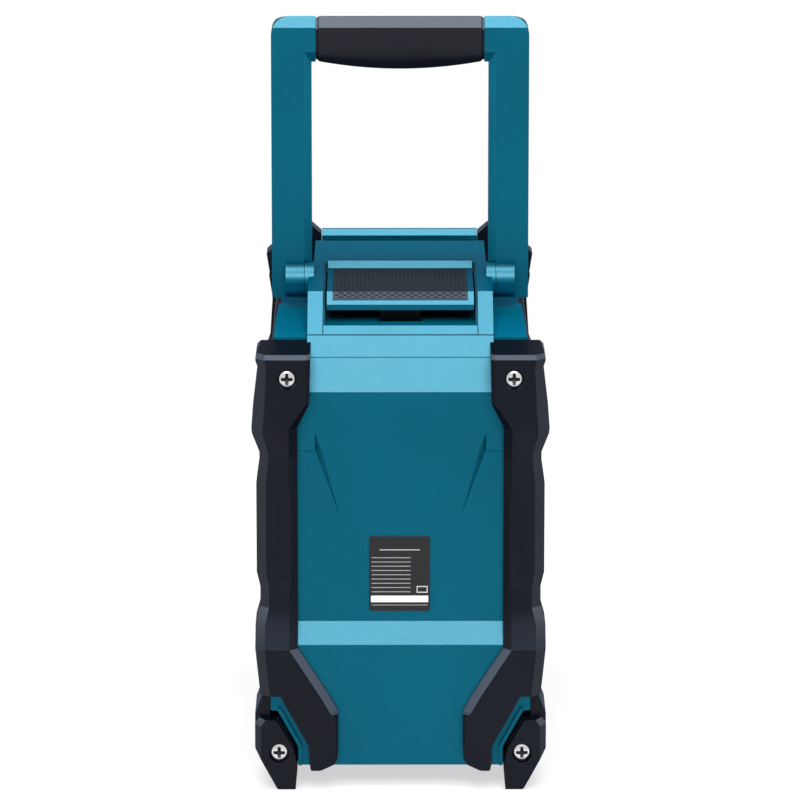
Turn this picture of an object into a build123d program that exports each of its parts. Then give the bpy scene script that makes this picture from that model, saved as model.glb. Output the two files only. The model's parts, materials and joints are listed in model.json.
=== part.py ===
"""A jobsite radio: a tall box that stands on four corner feet, with side-firing speakers,
a carrying handle that folds flat round the top frame, and a rear door over the battery bay.

Frame: millimetres, +X to the right as seen from behind, +Y from the rear door to the front
panel, +Z up. The origin is on the floor, under the middle of the box.
"""
from build123d import *
import os

os.makedirs("parts", exist_ok=True)

# ---------------------------------------------------------------- driving dimensions
FIT = 0.3                 # gap between parts that lie beside each other
RUN = 0.06                # radial clearance of a turning fit
SEAT = 0.02               # radial clearance of a pin or screw in its own seat
WALL = 3.0                # wall of the housings, the trays and the frame
BOARD = 1.6               # thickness of a circuit board

# housing
HALF = 70.0               # half width
MATE = 104.0              # rear and front ends, from the middle
SPLIT_Y = -30.0           # seam between its two halves
FLOOR = 16.0              # underside
DECK = 251.0              # top, where the folded handle lies
SHOULDER_END = -33.8      # front end of the rear shoulders
SHOULDER_TOP = 261.5
SHOULDER_BEND = (-85.0, 260.3)    # where a shoulder starts to fall towards its rear end
SHOULDER_FALL = 5.6       # how far it has fallen there
SHOULDER_OUT = 71.6       # half width at its rear end, from where it narrows to the housing's
SIDE_SKIN = 3.5           # thickness of the side panels

# rear door and front panel, the shallow trays that close the ends
TRAY_HALF = 73.8
TRAY_FOOT = 13.0          # underside
TRAY_GAP = 0.5            # gap between a tray and the housing
FACE_MID = 127.0          # middle of a tray's face, from the middle of the box
FACE_LOW = 133.0          # the lower, prouder part of the face
STEP_LOW = 83.6           # the sloping step between them, from this height
STEP_HIGH = 96.0          # to this height
DOOR_TOP = 257.5
DOOR_SHELF = 254.0        # beside its raised middle, behind the bumpers
DOOR_BROW = 228.9         # where the door starts to lean forward
DOOR_LEAN = (-118.0, 247.0)   # where it leans further
DOOR_LIP = -107.5         # rear of the door's top edge
DART_TOP = 195.3          # ledge at the wide end of a dart in the door
DART_TIP = 154.6
DART_HEAD = 205.8         # its slanting wall runs on above the ledge to here
DART_WALL = (44.2, 48.2)  # face and foot of that wall beside the ledge
DART_DEPTH = 2.3
FRONT_WALL_Y = 118.5      # rear of the wall in front of the folded handle
FRONT_WALL_TOP = 276.9
FRONT_WALL_HALF = 47.0
FRONT_BEVEL = 3.5

# top frame, between the arms of the handle
FRAME_SIDE_GAP = 0.8      # gap between the frame and an arm
FRAME_FLANGE = 2.4        # how much wider the frame is beside the shoulders
FRAME_END = 70.0
FRAME_END_Z = 279.2       # height at its front end
FRAME_CREST = (-30.0, 279.9)
FRAME_BREAK = (-80.0, 277.6)  # where the steep rear slope ends
FRAME_LIP = (-107.0, 258.0)
RAIL_W = 7.5              # rail on each side of the recess of the latch
RECESS_REAR = -101.5
RECESS_FRONT = 1.5
RECESS_FLOOR = 262.0
RECESS_RIM = 1.4
DECK_DROP = 0.6           # the deck between the rails lies lower than the rails

# handle
PIVOT_Y = -34.0
PIVOT_Z = 275.8
PIVOT_PIN_R = 2.8
KNUCKLE_R = 10.0
KNUCKLE_BOSS = 5.0        # how far the frame's knuckle stands out
KNUCKLE_W = 10.8          # width of the handle's knuckle
HANDLE_HALF = 74.0
ARM_W = 23.0
ARM_FOOT = 11.0           # how far the arms reach below the pivot
ARM_TOE_Y = 2.6           # the arms' lower front corner is cut off, from here behind
ARM_TOE_Z = 13.0          # to here above the pivot
HANDLE_TOP = 428.0
HANDLE_CORNER = 10.5
HANDLE_BEVEL = 6.0
HANDLE_FALL = 4.2         # how far the top falls from the bevel to the front
BAR_H = 26.2
HANDLE_SET = 1.0          # rear face of the handle, in front of the pivot
HANDLE_DEPTH = 22.0
INNER_BEVEL = 4.1         # along the inside of the arms
BAR_BEVEL = 6.0           # and under the bar
GRIP_HALF = 48.4
GRIP_BELLY = 31.2         # height of the grip at its middle
GRIP_BEVEL = 5.0          # along its underside
CORE = 13.0               # side of the square bar inside the grip

# latch
LATCH_SIDE_GAP = 0.9      # gap between the lever and the recess
LATCH_PIVOT_Y = -8.0
LATCH_PIVOT_Z = 275.0
LATCH_BARREL_R = 8.3
LATCH_PIN_R = 2.0
LATCH_REAR = (-89.0, 271.6)   # rear edge of the lever
LATCH_BREAK = (-81.5, 277.8)
LATCH_FOOT = (-20.0, 279.6)   # foot of the ridge
LATCH_LIP = 3.2           # thickness of the rear lip
LATCH_PLATE = 4.2         # thickness of the lever
PAD_BORDER = 3.3          # lever's border beside the pad
PAD_MARGIN = 2.4          # and behind it
PAD_DEPTH = 1.6
PAD_PROUD = 0.3
HOOK_HALF = 11.5          # the hook that holds the door's tongue
HOOK_TIP = -86.0
HOOK_LEG = -79.5          # rear of its leg
HOOK_T = 3.5
HOOK_PLATE_END = -60.0
HOOK_PLATE_T = 1.6
HOOK_SEAT = 0.2           # gap between the hook's plate and the lever
HOOK_SLOT_REAR = -89.5    # slot in the frame that the hook swings through
HOOK_SLOT_FRONT = -74.5
TONGUE_HALF = 14.0
TONGUE_T = 2.8
TONGUE_END = -83.0
TONGUE_Z = 251.6
TONGUE_RISE = 4.1         # room above the tongue for the door's swing
HOOK_GAP = 0.9            # gap between the hook and the tongue
SPRING_R = 3.0
SPRING_WIRE = 0.5
SPRING_TURNS = 7
SPRING_HALF = 5.0

# hinge of the door
HINGE_Y = -132.0
HINGE_Z = 17.4
HINGE_R = 3.8
HINGE_PIN_R = 1.8
LUG_INNER = 41.5
LUG_OUTER = 49.0
EAR = 2.4                 # thickness of the door's ears beside a lug

# battery bay
BAY_HALF = 55.0
BAY_LOW = 44.0
BAY_HIGH = 226.0
BAY_DEPTH = 60.0
BAY_WALL = 2.4
SEAL_W = 2.4
SEAL_T = 1.9

# shallow fields in the side panels
FIELD_COUNT = 6
FIELD_LOW = 66.0
FIELD_PITCH = 24.0
FIELD_DEPTH = 1.0
FIELD_ENDS = (-96.0, -34.0)

# speakers
SPEAKER_Y = 36.0
SPEAKER_Z = 132.0
SPEAKER_HOLE = 50.0       # radius of the opening in the housing
FLANGE_R = 57.0
FLANGE_T = 2.5
GRILLE_R = 61.0
GRILLE_T = 1.4
MAGNET_R = 26.0
MAGNET_T = 14.0
SPEAKER_DEPTH = 24.0      # from the flange to the magnet

# screws
HEAD_R = 4.9
HEAD_T = 2.3
SHANK_R = 2.1
HEAD_SINK = 1.3           # how deep a head lies below its face
BUMPER_SCREW = (63.7, 238.6)
FOOT_SCREW = (69.0, 21.7)
SEAM_SCREW_X = 62.9
SEAM_SCREW_Z = (32.0, 92.0, 172.0, 237.0)
SEAM_HEAD_R = 3.0
SEAM_SHANK_R = 1.6

# front controls
FASCIA_HALF = 46.0
FASCIA_LOW = 98.0
FASCIA_HIGH = 246.0
FASCIA_T = 3.0
PANEL_HOLE_HALF = 41.0    # opening in the front panel behind the fascia
PANEL_HOLE_LOW = 101.0
PANEL_HOLE_HIGH = 238.0
WINDOW_HALF = 37.0
WINDOW_LOW = 192.0
WINDOW_HIGH = 230.0
WINDOW_T = 1.6
KEY_Z = 178.0             # row of preset buttons
KEY_PITCH = 16.0
KEY_W = 12.0
KEY_H = 8.0
KEY_COUNT = 5
ROUND_KEY_X = 33.0
ROUND_KEY_Z = 151.0
ROUND_KEY_R = 6.0
TRAVEL = 1.2              # travel of a button
PROUD = 2.4               # how far a button stands out of the fascia
KNOB_Z = 145.0
KNOB_R = 19.0
KNOB_DEPTH = 9.0
SPINDLE_R = 3.0
COVER_HALF = 25.0         # cover over the sockets
COVER_LOW = 102.0
COVER_HIGH = 117.0
COVER_T = 3.0
CONTROL_BOARD_Y = 118.0
SOCKET_Z = 110.0

# aerial
AERIAL_Y = 133.0
AERIAL_Z = 268.0
AERIAL_LENGTH = 76.0
AERIAL_R = 3.0
AERIAL_HUB_R = 4.6
AERIAL_FOOT_R = 5.0

# corner bumper, from the foot of its upper part upwards: height, inner half width, outer
# half width, set-back of the face, inner bevel, outer bevel
BUMPER_FACE = 140.0
BUMPER_BACK = 105.5
BUMPER_LEVELS = [
    (55.0, 40.8, 79.6, 0.0, 4.7, 5.5),
    (82.1, 58.2, 82.4, 0.0, 4.7, 5.5),
    (95.8, 58.2, 82.2, 2.6, 4.7, 5.5),
    (105.8, 58.2, 79.4, 4.2, 4.7, 5.0),
    (117.4, 58.2, 79.4, 5.0, 4.7, 5.0),
    (125.6, 58.2, 81.4, 5.0, 4.7, 5.5),
    (177.2, 58.2, 81.4, 5.0, 4.7, 5.5),
    (190.4, 58.2, 79.5, 5.0, 4.7, 5.0),
    (195.5, 58.2, 79.5, 4.4, 4.7, 5.0),
    (206.5, 58.2, 83.6, 1.1, 4.7, 6.2),
    (210.0, 58.2, 83.9, 0.0, 4.7, 6.5),
    (224.3, 51.2, 82.8, 0.0, 2.0, 6.5),
    (245.5, 50.9, 80.3, 0.0, 2.0, 5.0),
]
BUMPER_TOP = [
    (248.6, 50.8, 81.4, 0.0, 2.0, 5.5),
    (249.9, 50.8, 81.4, 0.0, 2.0, 5.0),
    (252.8, 50.7, 80.8, 1.6, 2.0, 5.0),
    (256.0, 50.6, 77.2, 3.4, 2.0, 3.0),
]
BUMPER_CROWN_FRONT = 252.5    # height of the top's front edge
BUMPER_CROWN_BACK = 254.6     # and of its rear edge
LEG_LEVELS = [
    (11.3, 44.6, 51.0, 0.0, 1.5, 1.0),
    (14.4, 38.0, 51.6, 0.0, 1.5, 1.0),
    (17.8, 35.9, 52.0, 0.0, 1.5, 1.0),
    (25.4, 35.5, 52.0, 0.0, 1.5, 1.0),
    (42.6, 35.5, 61.6, 0.0, 1.5, 1.0),
    (45.2, 35.5, 63.0, 0.0, 4.4, 1.0),
    (55.0, 40.8, 68.3, 0.0, 4.7, 1.0),
]
LEG_BACK = 130.0
FRONT_FLANK = [(84.0, 197.0), (78.6, 210.0), (76.8, 238.0), (80.6, 262.2)]    # outside of a front bumper
HORN = [(47.3, DECK + 0.4), (47.3, 274.5), (53.0, 279.8), (63.0, 279.8), (80.6, 262.2), (80.6, DECK + 0.4)]
TRAY_NOTCH = 58.4         # half width of a tray at its foot
FOOT_OUTLINE = [(80.2, 42.2), (76.6, 41.2), (70.3, 40.8), (61.5, 25.6), (60.0, 21.4), (59.4, 17.4), (58.8, 14.0),
                (58.6, TRAY_FOOT - 0.5), (59.7, 0.0), (69.7, 0.0), (82.7, 24.1), (82.7, 38.4)]
FOOT_BEVEL = 3.4          # along the outside of its face
FOOT_HEM = 1.6            # and along its sole
FOOT_BACK = [(TRAY_HALF + 0.4, 38.0), (TRAY_HALF + 0.4, 54.6), (78.4, 54.6), (82.7, 43.4), (82.7, 36.0)]
FOOT_STEP = 133.0         # the foot stands higher from here inwards
FOOT_END = 92.0           # inner end of a foot, from the middle of the box
TRAY_CORNER = [(TRAY_NOTCH, TRAY_FOOT), (TRAY_NOTCH, 23.8), (70.0, 44.9), (TRAY_HALF, 45.2)]

INSIDE = HALF - WALL                  # inner face of the side walls
ARM_IN = HANDLE_HALF - ARM_W
FRAME_HALF = ARM_IN - FRAME_SIDE_GAP
TOP_HALF = FRAME_HALF + FRAME_FLANGE  # half width of the door's top and of the frame's rear end
RECESS_HALF = FRAME_HALF - RAIL_W     # the latch lies in this recess
LATCH_HALF = RECESS_HALF - LATCH_SIDE_GAP
PAD_HALF = LATCH_HALF - PAD_BORDER
KNUCKLE_SPLIT = FRAME_HALF + KNUCKLE_BOSS   # where the frame's knuckle meets the handle's
KNUCKLE_END = KNUCKLE_SPLIT + KNUCKLE_W
AERIAL_X = AERIAL_HUB_R - (AERIAL_LENGTH + AERIAL_HUB_R) / 2   # foot and tip lie alike between the horns
DOOR_BACK = -MATE - TRAY_GAP          # front edge of the door
PANEL_BACK = MATE + TRAY_GAP          # rear edge of the front panel
HANDLE_REAR = PIVOT_Y + HANDLE_SET
HANDLE_FRONT = HANDLE_REAR + HANDLE_DEPTH
BAR_LOW = HANDLE_TOP - BAR_H
BAY_END = -MATE + WALL + BAY_DEPTH
SCREW_FACE = BUMPER_FACE - HEAD_SINK
FASCIA_FACE = FACE_MID + FASCIA_T
PANEL_SKIN = HALF + SIDE_SKIN


# ---------------------------------------------------------------- shared operations
def prism_y(points, y_low, y_high, mode=Mode.ADD):
    """Extrudes an outline of (x, z) points between two y values."""
    with BuildSketch(Plane.XZ.offset(-y_high)) as outline:
        with BuildLine():
            Polyline(*points, close=True)
        make_face()
    extrude(outline.sketch, amount=y_high - y_low, mode=mode)


def prism_x(points, x_low, x_high, mode=Mode.ADD):
    """Extrudes an outline of (y, z) points between two x values."""
    with BuildSketch(Plane.YZ.offset(x_low)) as outline:
        with BuildLine():
            Polyline(*points, close=True)
        make_face()
    extrude(outline.sketch, amount=x_high - x_low, mode=mode)


def block(x_range, y_range, z_range, mode=Mode.ADD):
    """A box between two x, two y and two z values."""
    ranges = (x_range, y_range, z_range)
    centre = tuple((low + high) / 2 for low, high in ranges)
    with Locations(centre):
        Box(*(high - low for low, high in ranges), mode=mode)


def rod_x(y, z, radius, x_low, x_high, mode=Mode.ADD):
    """A cylinder along X."""
    with BuildSketch(Plane.YZ.offset(x_low)) as disc:
        with Locations((y, z)):
            Circle(radius)
    extrude(disc.sketch, amount=x_high - x_low, mode=mode)


def rod_y(x, z, radius, y_low, y_high, mode=Mode.ADD):
    """A cylinder along Y."""
    with BuildSketch(Plane.XZ.offset(-y_high)) as disc:
        with Locations((x, z)):
            Circle(radius)
    extrude(disc.sketch, amount=y_high - y_low, mode=mode)


def tower(sections, mode=Mode.ADD):
    """A solid with flat facets through outlines of (x, y) points at rising heights."""
    levels = []
    for height, points in sections:
        with BuildSketch(Plane.XY.offset(height)) as level:
            with BuildLine():
                Polyline(*points, close=True)
            make_face()
        levels.append(level.sketch)
    loft(levels, ruled=True, mode=mode)


def both(low, high):
    """The same stretch of x on the right and on the left side."""
    return [(low, high), (-high, -low)]


def whole(right_half):
    """A closed outline from the (x, z) points of its right half, listed upwards."""
    return right_half + [(-x, z) for x, z in reversed(right_half)]


def save(part, name):
    part.label = name
    export_step(part, f"parts/{name}.step")


def save_pair(right, name):
    """Saves a right-hand piece and its mirror image."""
    save(mirror(right, about=Plane.YZ), f"{name}_left")
    save(right, f"{name}_right")


def save_group(solids, name):
    save(Compound(children=solids), name)


def mirrored_x(part):
    return mirror(part, about=Plane.YZ)


def mirrored_y(part):
    return mirror(part, about=Plane.XZ)


# ---------------------------------------------------------------- housing
shoulder = [(-MATE, DECK - 1), (-MATE, SHOULDER_TOP - SHOULDER_FALL), SHOULDER_BEND,
            (SHOULDER_END, SHOULDER_TOP), (SHOULDER_END, DECK - 1)]
seam_boss_r = 4.4
corner_boss_r = 5.4

with BuildPart() as rear_housing:
    block((-HALF, HALF), (-MATE, SPLIT_Y), (FLOOR, DECK))
    for low, high in both(TOP_HALF + FIT, SHOULDER_OUT):
        prism_x(shoulder, low, high)
    for side in (-1, 1):
        flank = [(side * SHOULDER_OUT, -MATE), (side * HALF, SHOULDER_END), (side * (HALF + 5), SHOULDER_END),
                 (side * (HALF + 5), -MATE)]
        tower([(DECK - 2, flank), (SHOULDER_TOP + 1, flank)], Mode.SUBTRACT)
    block((-INSIDE, INSIDE), (-MATE + WALL, SPLIT_Y), (FLOOR + WALL, DECK - WALL), Mode.SUBTRACT)
    for side in (-1, 1):
        for height in SEAM_SCREW_Z:
            rod_y(side * SEAM_SCREW_X, height, seam_boss_r, -MATE + 1, SPLIT_Y)
        rod_y(side * FOOT_SCREW[0], FOOT_SCREW[1], corner_boss_r, -MATE, -MATE + 20)
    for low, high in both(LUG_INNER, LUG_OUTER):
        rod_x(HINGE_Y, HINGE_Z, HINGE_R, low, high)
        prism_x([(HINGE_Y, HINGE_Z - 3.2), (-MATE + 5, HINGE_Z - 3.2), (-MATE + 5, FLOOR + WALL),
                 (-MATE, FLOOR + WALL + 3), (HINGE_Y, HINGE_Z + 3.2)], low, high)
    # opening of the battery bay, screw bores and bores of the hinge
    block((-BAY_HALF, BAY_HALF), (-MATE - 1, -MATE + WALL), (BAY_LOW, BAY_HIGH), Mode.SUBTRACT)
    for side in (-1, 1):
        for height in SEAM_SCREW_Z:
            rod_y(side * SEAM_SCREW_X, height, SEAM_HEAD_R + 0.2, -MATE - 1, SPLIT_Y - 14, Mode.SUBTRACT)
            rod_y(side * SEAM_SCREW_X, height, SEAM_SHANK_R + 0.2, -MATE, SPLIT_Y + 1, Mode.SUBTRACT)
        rod_y(side * FOOT_SCREW[0], FOOT_SCREW[1], SHANK_R + SEAT, -MATE - 1, -MATE + 17, Mode.SUBTRACT)
    for low, high in both(LUG_INNER, LUG_OUTER):
        rod_x(HINGE_Y, HINGE_Z, HINGE_PIN_R + SEAT, low, high, Mode.SUBTRACT)

save(rear_housing.part, "rear_housing")

with BuildPart() as front_housing:
    block((-HALF, HALF), (SPLIT_Y, MATE), (FLOOR, DECK))
    block((-INSIDE, INSIDE), (SPLIT_Y, MATE), (FLOOR + WALL, DECK - WALL), Mode.SUBTRACT)
    for side in (-1, 1):
        for height in SEAM_SCREW_Z:
            rod_y(side * SEAM_SCREW_X, height, seam_boss_r, SPLIT_Y, SPLIT_Y + 18)
            rod_y(side * SEAM_SCREW_X, height, SEAM_SHANK_R + SEAT, SPLIT_Y - 1, SPLIT_Y + 15, Mode.SUBTRACT)
        rod_y(side * FOOT_SCREW[0], FOOT_SCREW[1], corner_boss_r, MATE - 20, MATE)
        rod_y(side * FOOT_SCREW[0], FOOT_SCREW[1], SHANK_R + SEAT, MATE - 17, MATE + 1, Mode.SUBTRACT)
        rod_y(side * BUMPER_SCREW[0], BUMPER_SCREW[1], corner_boss_r, MATE - 20, MATE)
        rod_y(side * BUMPER_SCREW[0], BUMPER_SCREW[1], SHANK_R + SEAT, MATE - 17, MATE + 1, Mode.SUBTRACT)
    rod_x(SPEAKER_Y, SPEAKER_Z, SPEAKER_HOLE, -HALF - 1, HALF + 1, Mode.SUBTRACT)

save(front_housing.part, "front_housing")

seam_screws = []
for side in (-1, 1):
    for height in SEAM_SCREW_Z:
        with BuildPart() as seam_screw:
            rod_y(side * SEAM_SCREW_X, height, SEAM_HEAD_R, SPLIT_Y - 16, SPLIT_Y - 14)
            rod_y(side * SEAM_SCREW_X, height, SEAM_SHANK_R, SPLIT_Y - 14, SPLIT_Y + 14)
            block((side * SEAM_SCREW_X - 0.5, side * SEAM_SCREW_X + 0.5), (SPLIT_Y - 16.1, SPLIT_Y - 15.2),
                  (height - 1.8, height + 1.8), Mode.SUBTRACT)
        seam_screws.append(seam_screw.part)
save_group(seam_screws, "housing_screws")


# ---------------------------------------------------------------- rear door
door_profile = [(DOOR_BACK, TRAY_FOOT), (-FACE_LOW, TRAY_FOOT), (-FACE_LOW, STEP_LOW), (-FACE_MID, STEP_HIGH),
                (-FACE_MID, DOOR_BROW), DOOR_LEAN, (DOOR_LIP, DOOR_TOP), (DOOR_BACK, DOOR_TOP)]
door_outline = whole(TRAY_CORNER + [(TRAY_HALF, DOOR_SHELF), (TOP_HALF, DOOR_SHELF), (TOP_HALF, DOOR_TOP)])
panel_profile = [(-y, z) for y, z in door_profile[:4]] + [
    (FACE_MID, FRONT_WALL_TOP - 3), (FACE_MID - 2.5, FRONT_WALL_TOP), (FRONT_WALL_Y + FRONT_BEVEL, FRONT_WALL_TOP),
    (FRONT_WALL_Y, FRONT_WALL_TOP - FRONT_BEVEL), (FRONT_WALL_Y, DECK - 0.5), (PANEL_BACK, DECK - 0.5)]
panel_outline = whole(TRAY_CORNER + [(TRAY_HALF, DECK - 0.5), (FRONT_WALL_HALF, DECK - 0.5),
                                     (FRONT_WALL_HALF, FRONT_WALL_TOP)])


def tray(outline, profile, y_back):
    """The full block of a tray, and the hollow that leaves its walls."""
    solids = []
    inwards = 1 if y_back < 0 else -1
    for inset in (0, WALL):
        mouth = y_back + inwards * 2 * inset
        cut = [(mouth if y == y_back else y, z) for y, z in profile]
        with BuildSketch(Plane.XZ.offset(-FACE_LOW)) as front:
            with BuildLine():
                Polyline(*outline, close=True)
            make_face()
            if inset:
                offset(amount=-inset, kind=Kind.INTERSECTION)
        with BuildSketch(Plane.YZ.offset(-TRAY_HALF)) as section:
            with BuildLine():
                Polyline(*cut, close=True)
            make_face()
            if inset:
                offset(amount=-inset, kind=Kind.INTERSECTION)
        with BuildPart() as solid:
            extrude(front.sketch, amount=2 * FACE_LOW)
            extrude(section.sketch, amount=2 * TRAY_HALF, mode=Mode.INTERSECT)
        solids.append(solid.part)
    return solids


door_block, door_hollow = tray(door_outline, door_profile, DOOR_BACK)
panel_block, panel_hollow = tray(panel_outline, panel_profile, PANEL_BACK)

seal_outer = BAY_HALF + SEAL_W + 1.0
seal_mid_z = (BAY_LOW + BAY_HIGH) / 2
seal_half_h = (BAY_HIGH - BAY_LOW) / 2 + SEAL_W + 1.0
seal_front = -MATE - FIT

with BuildPart() as rear_door:
    add(door_block)
    add(door_hollow, mode=Mode.SUBTRACT)
    # rib that carries the seal
    with BuildSketch(Plane.XZ.offset(-(seal_front - SEAL_T))) as rib:
        with Locations((0, seal_mid_z)):
            Rectangle(2 * seal_outer, 2 * seal_half_h)
            Rectangle(2 * (seal_outer - SEAL_W), 2 * (seal_half_h - SEAL_W), mode=Mode.SUBTRACT)
    extrude(rib.sketch, amount=FACE_MID + seal_front - SEAL_T - WALL + 0.5)
    # bosses of the bumper screws
    for side in (-1, 1):
        rod_y(side * BUMPER_SCREW[0], BUMPER_SCREW[1], corner_boss_r, DOOR_BACK - 14, DOOR_BACK - 1)
        rod_y(side * BUMPER_SCREW[0], BUMPER_SCREW[1], SHANK_R + SEAT, -FACE_LOW, DOOR_BACK - 2, Mode.SUBTRACT)
    # slots and ears of the hinge
    for low, high in both(LUG_INNER - FIT, LUG_OUTER + FIT):
        block((low, high), (-FACE_LOW - 1, DOOR_BACK + 1), (TRAY_FOOT - 1, HINGE_Z + HINGE_R + 0.6), Mode.SUBTRACT)
    for edge in (LUG_INNER - FIT - EAR, LUG_OUTER + FIT):
        for low, high in both(edge, edge + EAR):
            rod_x(HINGE_Y, HINGE_Z, HINGE_R, low, high)
            rod_x(HINGE_Y, HINGE_Z, HINGE_PIN_R + RUN, low, high, Mode.SUBTRACT)
    # tongue under the nose of the latch
    block((-TONGUE_HALF, TONGUE_HALF), (DOOR_LIP - 3.0, TONGUE_END), (TONGUE_Z, TONGUE_Z + TONGUE_T))
    # tapering darts in the face, with a ledge at their wide end
    for side in (-1, 1):
        wall_face, wall_foot = DART_WALL
        wall_slope = (wall_foot - wall_face) / DART_DEPTH
        tower([(DART_TIP, [(side * x, y) for x, y in ((34.0, -FACE_MID - 1), (33.8, -FACE_MID - 0.02),
                                                       (33.2, -FACE_MID), (33.0, -FACE_MID - 1))]),
               (DART_TOP, [(side * x, y) for x, y in ((58.4, -FACE_MID - 1), (58.2, -FACE_MID + 0.9),
                                                       (wall_foot, -FACE_MID + DART_DEPTH),
                                                       (wall_face - wall_slope, -FACE_MID - 1))])],
              Mode.SUBTRACT)
        tower([(height, [(side * x, y) for x, y in ((wall_foot, -FACE_MID - 1), (wall_foot, -FACE_MID + depth),
                                                     (wall_foot - wall_slope * (depth + 1), -FACE_MID - 1))])
               for height, depth in ((DART_TOP - 0.5, DART_DEPTH), (DART_HEAD, 0.05))], Mode.SUBTRACT)

save(rear_door.part, "rear_door")

with BuildPart() as door_seal:
    with BuildSketch(Plane.XZ.offset(-seal_front)) as ring:
        with Locations((0, seal_mid_z)):
            Rectangle(2 * seal_outer, 2 * seal_half_h)
            Rectangle(2 * (seal_outer - SEAL_W), 2 * (seal_half_h - SEAL_W), mode=Mode.SUBTRACT)
    extrude(ring.sketch, amount=SEAL_T)

save(door_seal.part, "door_seal")

with BuildPart() as rating_plate:
    with BuildSketch(Plane.XZ.offset(FACE_MID)) as plate:
        with Locations((-0.5, 123.8)):
            RectangleRounded(34.5, 43.5, 1.5)
    extrude(plate.sketch, amount=0.6)

save(rating_plate.part, "rating_plate")

door_pins = []
for low, high in both(LUG_INNER - FIT - EAR + 0.1, LUG_OUTER + FIT + EAR - 0.1):
    with BuildPart() as door_pin:
        rod_x(HINGE_Y, HINGE_Z, HINGE_PIN_R, low, high)
    door_pins.append(door_pin.part)
save_group(door_pins, "door_hinge_pins")


# ---------------------------------------------------------------- corner bumpers
def bumper_section(inner, outer, setback, inner_bevel, outer_bevel, back=BUMPER_BACK):
    """The corner's outline at one height, at the rear on the right."""
    face = BUMPER_FACE - setback
    return [(inner, -back), (inner, -face + inner_bevel), (inner + inner_bevel, -face),
            (outer - outer_bevel, -face), (outer, -face + outer_bevel), (outer, -back)]


def bumper_tower(levels):
    tower([(height, bumper_section(*row)) for height, *row in levels])


def screw_seat(x, z, face=BUMPER_FACE):
    """Counterbore and clearance hole of a corner screw, at the rear on the right."""
    rod_y(x, z, HEAD_R + 0.7, -face - 1, -SCREW_FACE + HEAD_T, Mode.SUBTRACT)
    rod_y(x, z, SHANK_R + 0.2, -face - 1, -MATE + 30, Mode.SUBTRACT)


with BuildPart() as bumper_body:
    bumper_tower(BUMPER_LEVELS)
    bumper_tower(LEG_LEVELS)
    block((0, TRAY_HALF), (-LEG_BACK, 0), (0, TRAY_FOOT), Mode.SUBTRACT)
    # lowered panel beside the inner edge
    prism_y([(57.0, 117.0), (63.2, 117.0), (68.8, 123.0), (68.8, 164.0), (63.2, 173.0), (57.0, 173.0)],
            -BUMPER_FACE, -BUMPER_FACE + 6.0, Mode.SUBTRACT)

with BuildPart() as rear_bumper:
    add(bumper_body.part)
    bumper_tower(BUMPER_LEVELS[-1:] + BUMPER_TOP)
    prism_x([(-BUMPER_FACE, BUMPER_CROWN_FRONT), (-BUMPER_BACK, BUMPER_CROWN_BACK), (-BUMPER_BACK, 300),
             (-BUMPER_FACE, 300)], 0, 2 * TRAY_HALF, Mode.SUBTRACT)
    add(door_block, mode=Mode.SUBTRACT)
    block((0, HALF + 4), (DOOR_BACK, 0), (0, 300), Mode.SUBTRACT)
    block((0, TOP_HALF + FIT), (FRAME_LIP[0] - FIT, 0), (DOOR_TOP - 3, 300), Mode.SUBTRACT)
    rod_x(HINGE_Y, HINGE_Z, HINGE_R + FIT, 30, LUG_OUTER + FIT + EAR + FIT, Mode.SUBTRACT)
    block((LUG_INNER - FIT, LUG_OUTER + FIT), (HINGE_Y - HINGE_R - FIT, -LEG_BACK + 30), (0, HINGE_Z), Mode.SUBTRACT)
    screw_seat(*BUMPER_SCREW)

save_pair(rear_bumper.part, "rear_bumper")

with BuildPart() as front_bumper:
    add(bumper_body.part)
    bumper_tower(BUMPER_LEVELS[-1:] + [(DECK + 0.4, 47.3, 81.0, 0.0, 2.0, 5.0)])
    prism_y(HORN, -BUMPER_FACE, -FRONT_WALL_Y)
    horn_top = [(-BUMPER_FACE - 1, DECK + 4), (-BUMPER_FACE, DECK + 4), (-BUMPER_FACE + 9, 281.0),
                (-BUMPER_FACE - 1, 281.0)]
    prism_x(horn_top, 40, 90, Mode.SUBTRACT)
    prism_y(FRONT_FLANK + [(90.0, 262.2), (90.0, 197.0)], -BUMPER_FACE - 1, 0, Mode.SUBTRACT)
    add(mirrored_y(panel_block), mode=Mode.SUBTRACT)
    block((0, HALF + 4), (-PANEL_BACK, 0), (0, 300), Mode.SUBTRACT)
    screw_seat(*BUMPER_SCREW)

save_pair(mirrored_y(front_bumper.part), "front_bumper")

with BuildPart() as foot:
    prism_y(FOOT_OUTLINE, -BUMPER_FACE, -FOOT_END)
    face_edges = foot.faces().sort_by(Axis.Y)[0].edges()
    outside = face_edges.sort_by(Axis.X)[-2:]
    sole = face_edges.sort_by(Axis.Z)[0]
    chamfer(outside, FOOT_BEVEL)
    chamfer(sole, FOOT_HEM)
    prism_y(FOOT_BACK, -FOOT_STEP, -FOOT_END)
    block((0, HALF + FIT), (-MATE, 0), (FLOOR, 60), Mode.SUBTRACT)
    block((0, TRAY_NOTCH + FIT), (-FACE_LOW - FIT, 0), (TRAY_FOOT - 0.4, 60), Mode.SUBTRACT)
    rod_y(FOOT_SCREW[0], FOOT_SCREW[1], corner_boss_r, -MATE, 0, Mode.SUBTRACT)
    screw_seat(*FOOT_SCREW)

save_pair(foot.part, "foot_rear")
save_pair(mirrored_y(foot.part), "foot_front")


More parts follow.
